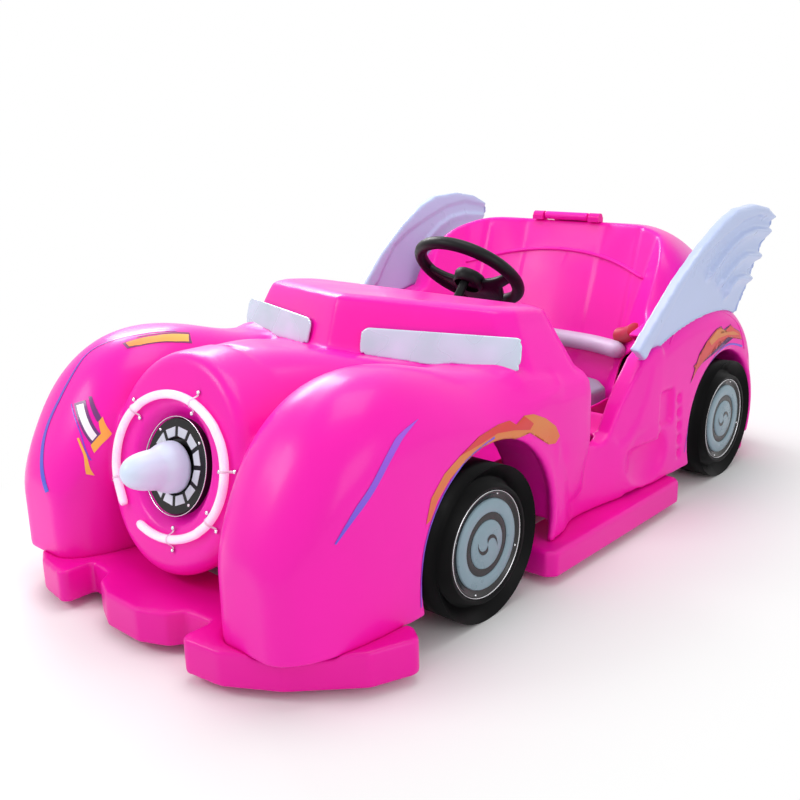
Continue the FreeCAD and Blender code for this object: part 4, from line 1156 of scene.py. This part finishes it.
STRIP_EDGE = [
    (-229, -562, 398), (-212, -564, 392), (-203, -544, 394), (-197, -521, 394), (-188, -482, 390),
    (-184, -453, 386), (-204, -441, 397), (-208, -470, 401), (-213, -507, 404), (-221, -538, 403)
]
# Curves of stripes, lines and beads, in the same frame.
STRIPE_RIGHT = [
    (-230, -727, 180), (-264, -712, 236), (-276, -689, 276), (-271, -663, 318), (-272, -632, 356),
    (-280, -595, 384), (-252, -559, 402), (-225, -518, 408), (-215, -461, 404)
]
STRIPE_LEFT = [
    (360, -649, 227), (367, -622, 258), (371, -590, 285), (371, -568, 309), (370, -546, 330),
    (367, -524, 346), (364, -486, 357)
]
LINE_PURPLE = [(-235, -663, 314), (-206, -672, 288), (-186, -676, 261), (-174, -676, 233)]
LINE_ORANGE = [(-197, -680, 267), (-186, -681, 253), (-177, -680, 234), (-174, -679, 209)]
STRIP_LINE = [(-225, -535, 405), (-217, -507, 406), (-210, -466, 403), (-207, -440, 399)]
LINE_FRONT = [(375, -322 + 179 * math.cos(a), 112 + 179 * math.sin(a))
              for a in [math.radians(d) for d in (190, 170, 150, 130, 110, 90)]]
LINE_REAR = [
    (376, 318, 96), (376, 324, 127), (376, 337, 183), (377, 372, 233), (377, 430, 274), (377, 472, 288),
    (377, 519, 286), (376, 566, 270)
]
QUARTER_EDGE = [
    (373, 242, 332), (375, 266, 348), (377, 312, 365), (378, 376, 374), (378, 427, 372), (376, 486, 356),
    (373, 534, 330), (372, 562, 296), (372, 580, 262)
]


class RIDECAR_OT_stickers(bpy.types.Operator):
    """Lay the cut vinyl stripes, flames and plain patches on the skin, and its moulded beads"""
    bl_idname = "ridecar.stickers"
    bl_label = "Stickers"

    def execute(self, context):
        lift = context.scene.ride_car_sizes.sticker_lift
        tree = surface_tree(bpy.data.objects["body_skin"])
        sticker("stripe_right_fender", tree, STRIPE_RIGHT, lambda t: 0.003 + 0.0075 * max(0, 1 - 1.5 * t),
                (-0.3, -0.8, 0.6), "stripe", lift)
        sticker("stripe_left_fender", tree, STRIPE_LEFT,
                lambda t: 0.0095 * min(1, 3 * t + 0.2, 4 - 4 * t) + 0.0005, (1, -0.5, 0.3), "stripe_left",
                lift)
        for side, word in ((1, "left"), (-1, "right")):
            self.arch_prints(tree, side, word, lift)
        crest = [stuck(tree, p, Vector((0, -1, 0)), -0.8 * MM)
                 for p in metres((x, 390, 468 - 44 * (x / 240) ** 2)
                                 for x in (-232, -180, -120, -60, 0, 60, 120, 180, 232))]
        self.bead("backrest_bead", crest, 4.2)
        front, above = (-0.2, -1, 0.4), (-0.3, -0.3, 1)
        for name, shape, out, material, rise, wide in (
                ("plum_block", PLUM_BLOCK, front, "plum", 1, 0),
                ("blank_label", BLANK_LABEL, front, "label", 1.6, 0),
                ("plum_bar", PLUM_BAR, front, "plum", 1, 0),
                ("chevron", CHEVRON, front, "yellow", 1.3, 0),
                ("line_purple", LINE_PURPLE, front, "violet", 1, 1.6),
                ("line_orange", LINE_ORANGE, front, "yellow", 1, 3),
                ("strip_edge", STRIP_EDGE, above, "plum", 1, 0),
                ("strip_top", STRIP, above, "orange", 1.6, 0),
                ("strip_line", STRIP_LINE, above, "plum", 1, 2.5)):
            if wide:
                sticker(name, tree, shape, lambda t: wide * MM, out, material, lift * rise, 2)
            else:
                decal(name, tree, shape, out, material, lift * rise)
        return {"FINISHED"}

    def bead(self, name, path, radius):
        """Moulded bead along places in metres, with its radius in mm."""
        points, faces = tube_along(path, radius * MM)
        put(name, mesh_of(name, points, faces), "shell", "body")

    def arch_prints(self, tree, side, word, lift):
        """Flames and thin lines over both wheel arches of one side, and the bead above the rear one."""
        def flip(outline):
            return [(side * x, y, z) for x, y, z in outline]

        out = (side, 0, 0.1)
        for name, outline, material, by, rise in (
                ("flame_front", FLAME_FRONT, "flame", 0, 1),
                ("flame_front_red", FLAME_FRONT_RED, "red", 0, 1.6),
                ("flame_rear_edge", FLAME_REAR, "plum", 1.4, 1),
                ("flame_rear", FLAME_REAR, "red", 0, 1.6),
                ("flame_rear_orange", FLAME_REAR_ORANGE, "flame", 0, 2.2)):
            shape = widened(flip(outline), by) if by else flip(outline)
            decal("%s_%s" % (name, word), tree, shape, out, material, lift * rise)
        sticker("line_front_" + word, tree, flip(LINE_FRONT), lambda t: 0.0035, out, "violet", lift, 2, 80)
        sticker("line_rear_" + word, tree, flip(LINE_REAR), lambda t: 0.002 + 0.004 * max(0, t - 0.4), out,
                "violet", lift, 2, 70)
        edge = [stuck(tree, p, Vector(out).normalized(), 0) for p in metres(flip(QUARTER_EDGE))]
        self.bead("quarter_bead_" + word, edge, 2.2)


class RIDECAR_OT_stage(bpy.types.Operator):
    """Set the floor, the soft lamps, the white surround and the camera"""
    bl_idname = "ridecar.stage"
    bl_label = "Stage"

    def execute(self, context):
        scene = context.scene
        scene.view_settings.view_transform = "Standard"
        self.floor()
        self.surround(scene)
        self.lamps()
        self.camera(scene)
        return {"FINISHED"}

    def floor(self):
        """A pale floor that fades into the surround, so that only the car's shadow is seen on it."""
        mesh = bpy.data.meshes.new("floor")
        mesh.from_pydata([(-6, -6, 0), (6, -6, 0), (6, 6, 0), (-6, 6, 0)], [], [(0, 1, 2, 3)])
        floor = linked("floor", mesh)
        made = bpy.data.materials.new("seamless_paper_white")
        made.use_nodes = True
        tree = made.node_tree
        tree.nodes.clear()
        place = add(tree, "ShaderNodeTexCoord")
        slim = add(tree, "ShaderNodeVectorMath", {0: place.outputs["Object"], 1: (1.0, 0.55, 1.0)},
                   operation="MULTIPLY")
        far = add(tree, "ShaderNodeVectorMath", {0: slim.outputs["Vector"]}, operation="LENGTH")
        fade = add(tree, "ShaderNodeMapRange", {"Value": far.outputs["Value"], "From Min": 0.46,
                                                "From Max": 0.85}, interpolation_type="SMOOTHSTEP")
        paper = add(tree, "ShaderNodeBsdfDiffuse", {"Color": (0.9, 0.9, 0.9, 1)})
        glow = add(tree, "ShaderNodeEmission", {"Color": (1, 1, 1, 1), "Strength": 1.0})
        rays = add(tree, "ShaderNodeLightPath")
        seen = add(tree, "ShaderNodeMath", {0: rays.outputs["Is Camera Ray"], 1: fade.outputs["Result"]},
                   operation="MULTIPLY")
        mix = add(tree, "ShaderNodeMixShader", {0: seen.outputs["Value"], 1: paper.outputs["BSDF"],
                                                2: glow.outputs["Emission"]})
        add(tree, "ShaderNodeOutputMaterial", {"Surface": mix.outputs["Shader"]})
        mesh.materials.append(made)

    def surround(self, scene):
        """White to the camera and in reflections, and a plain soft light elsewhere."""
        world = bpy.data.worlds.new("studio")
        scene.world = world
        world.use_nodes = True
        tree = world.node_tree
        tree.nodes.clear()
        rays = add(tree, "ShaderNodeLightPath")
        mirrored = add(tree, "ShaderNodeMath", {
            0: rays.outputs["Is Glossy Ray"], 1: rays.outputs["Is Transmission Ray"]}, operation="MAXIMUM")
        shown = add(tree, "ShaderNodeMath", {
            0: rays.outputs["Is Camera Ray"], 1: mirrored.outputs["Value"]}, operation="MAXIMUM")
        strength = add(tree, "ShaderNodeMapRange", {"Value": shown.outputs["Value"], "To Min": 0.64,
                                                    "To Max": 1.0})
        back = add(tree, "ShaderNodeBackground", {"Color": (1, 1, 1, 1),
                                                  "Strength": strength.outputs["Result"]})
        add(tree, "ShaderNodeOutputWorld", {"Surface": back.outputs["Background"]})

    def lamps(self):
        """Four soft boxes: place and aim in metres, width and height, and power in watts."""
        for name, place, aim, size, deep, power in (
                ("softbox_right", (-1.9, 0.5, 1.7), (0, -0.1, 0.3), 1.1, 0.8, 36),
                ("softbox_top", (0.1, -0.1, 2.6), (0, 0, 0.2), 1.4, 1.4, 21),
                ("softbox_front", (-1.3, -2.2, 1.7), (0, -0.3, 0.3), 0.9, 0.7, 17),
                ("softbox_left", (2.8, -0.6, 1.2), (0, 0, 0.25), 1.6, 1.2, 14)):
            light = bpy.data.lights.new(name, "AREA")
            light.energy = power
            light.shape = "RECTANGLE"
            light.size = size
            light.size_y = deep
            holder = linked(name, light)
            holder.location = place
            holder.rotation_mode = "QUATERNION"
            holder.rotation_quaternion = (Vector(aim) - Vector(place)).to_track_quat("-Z", "Y")

    def camera(self, scene):
        """A camera at standing height, off the car's left front corner."""
        data = bpy.data.cameras.new("camera")
        data.sensor_width = 36.0
        data.lens = 44.2
        holder = linked("camera", data)
        turn, tilt, roll = math.radians(42.013), math.radians(15.765), math.radians(-1.234)
        back = Vector((math.sin(turn) * math.cos(tilt), -math.cos(turn) * math.cos(tilt), math.sin(tilt)))
        right = Vector((math.cos(turn), math.sin(turn), 0))
        up = back.cross(right)
        level = Matrix((right * math.cos(roll) + up * math.sin(roll),
                        up * math.cos(roll) - right * math.sin(roll), back)).transposed().to_4x4()
        holder.matrix_world = Matrix.Translation((1.207, -1.458, 0.748)) @ level
        scene.camera = holder


STEPS = (RIDECAR_OT_finishes, RIDECAR_OT_body, RIDECAR_OT_base, RIDECAR_OT_wings, RIDECAR_OT_windscreen,
         RIDECAR_OT_nose, RIDECAR_OT_wheels, RIDECAR_OT_steering, RIDECAR_OT_seat, RIDECAR_OT_running_gear,
         RIDECAR_OT_stickers, RIDECAR_OT_stage)


class RIDECAR_PT_panel(bpy.types.Panel):
    """Sidebar panel that lists the sizes, the colours and the pieces"""
    bl_label = "Ride Car"
    bl_idname = "RIDECAR_PT_panel"
    bl_space_type = "VIEW_3D"
    bl_region_type = "UI"
    bl_category = "Ride Car"

    def draw(self, context):
        for group in (context.scene.ride_car_sizes, context.scene.ride_car_colours):
            for key in group.bl_rna.properties.keys():
                if key not in ("rna_type", "name"):
                    self.layout.prop(group, key)
        for step in STEPS:
            self.layout.operator(step.bl_idname)


CLASSES = (RideCarSizes, RideCarColours) + STEPS + (RIDECAR_PT_panel,)


def register():
    """Registers the classes and hangs the settings on the scene."""
    for one in CLASSES:
        bpy.utils.register_class(one)
    bpy.types.Scene.ride_car_sizes = bpy.props.PointerProperty(type=RideCarSizes)
    bpy.types.Scene.ride_car_colours = bpy.props.PointerProperty(type=RideCarColours)


def unregister():
    """Takes back what register added."""
    del bpy.types.Scene.ride_car_colours
    del bpy.types.Scene.ride_car_sizes
    for one in reversed(CLASSES):
        bpy.utils.unregister_class(one)


def main():
    register()
    for step in STEPS:
        group, name = step.bl_idname.split(".")
        getattr(getattr(bpy.ops, group), name)()


if __name__ == "__main__":
    main()
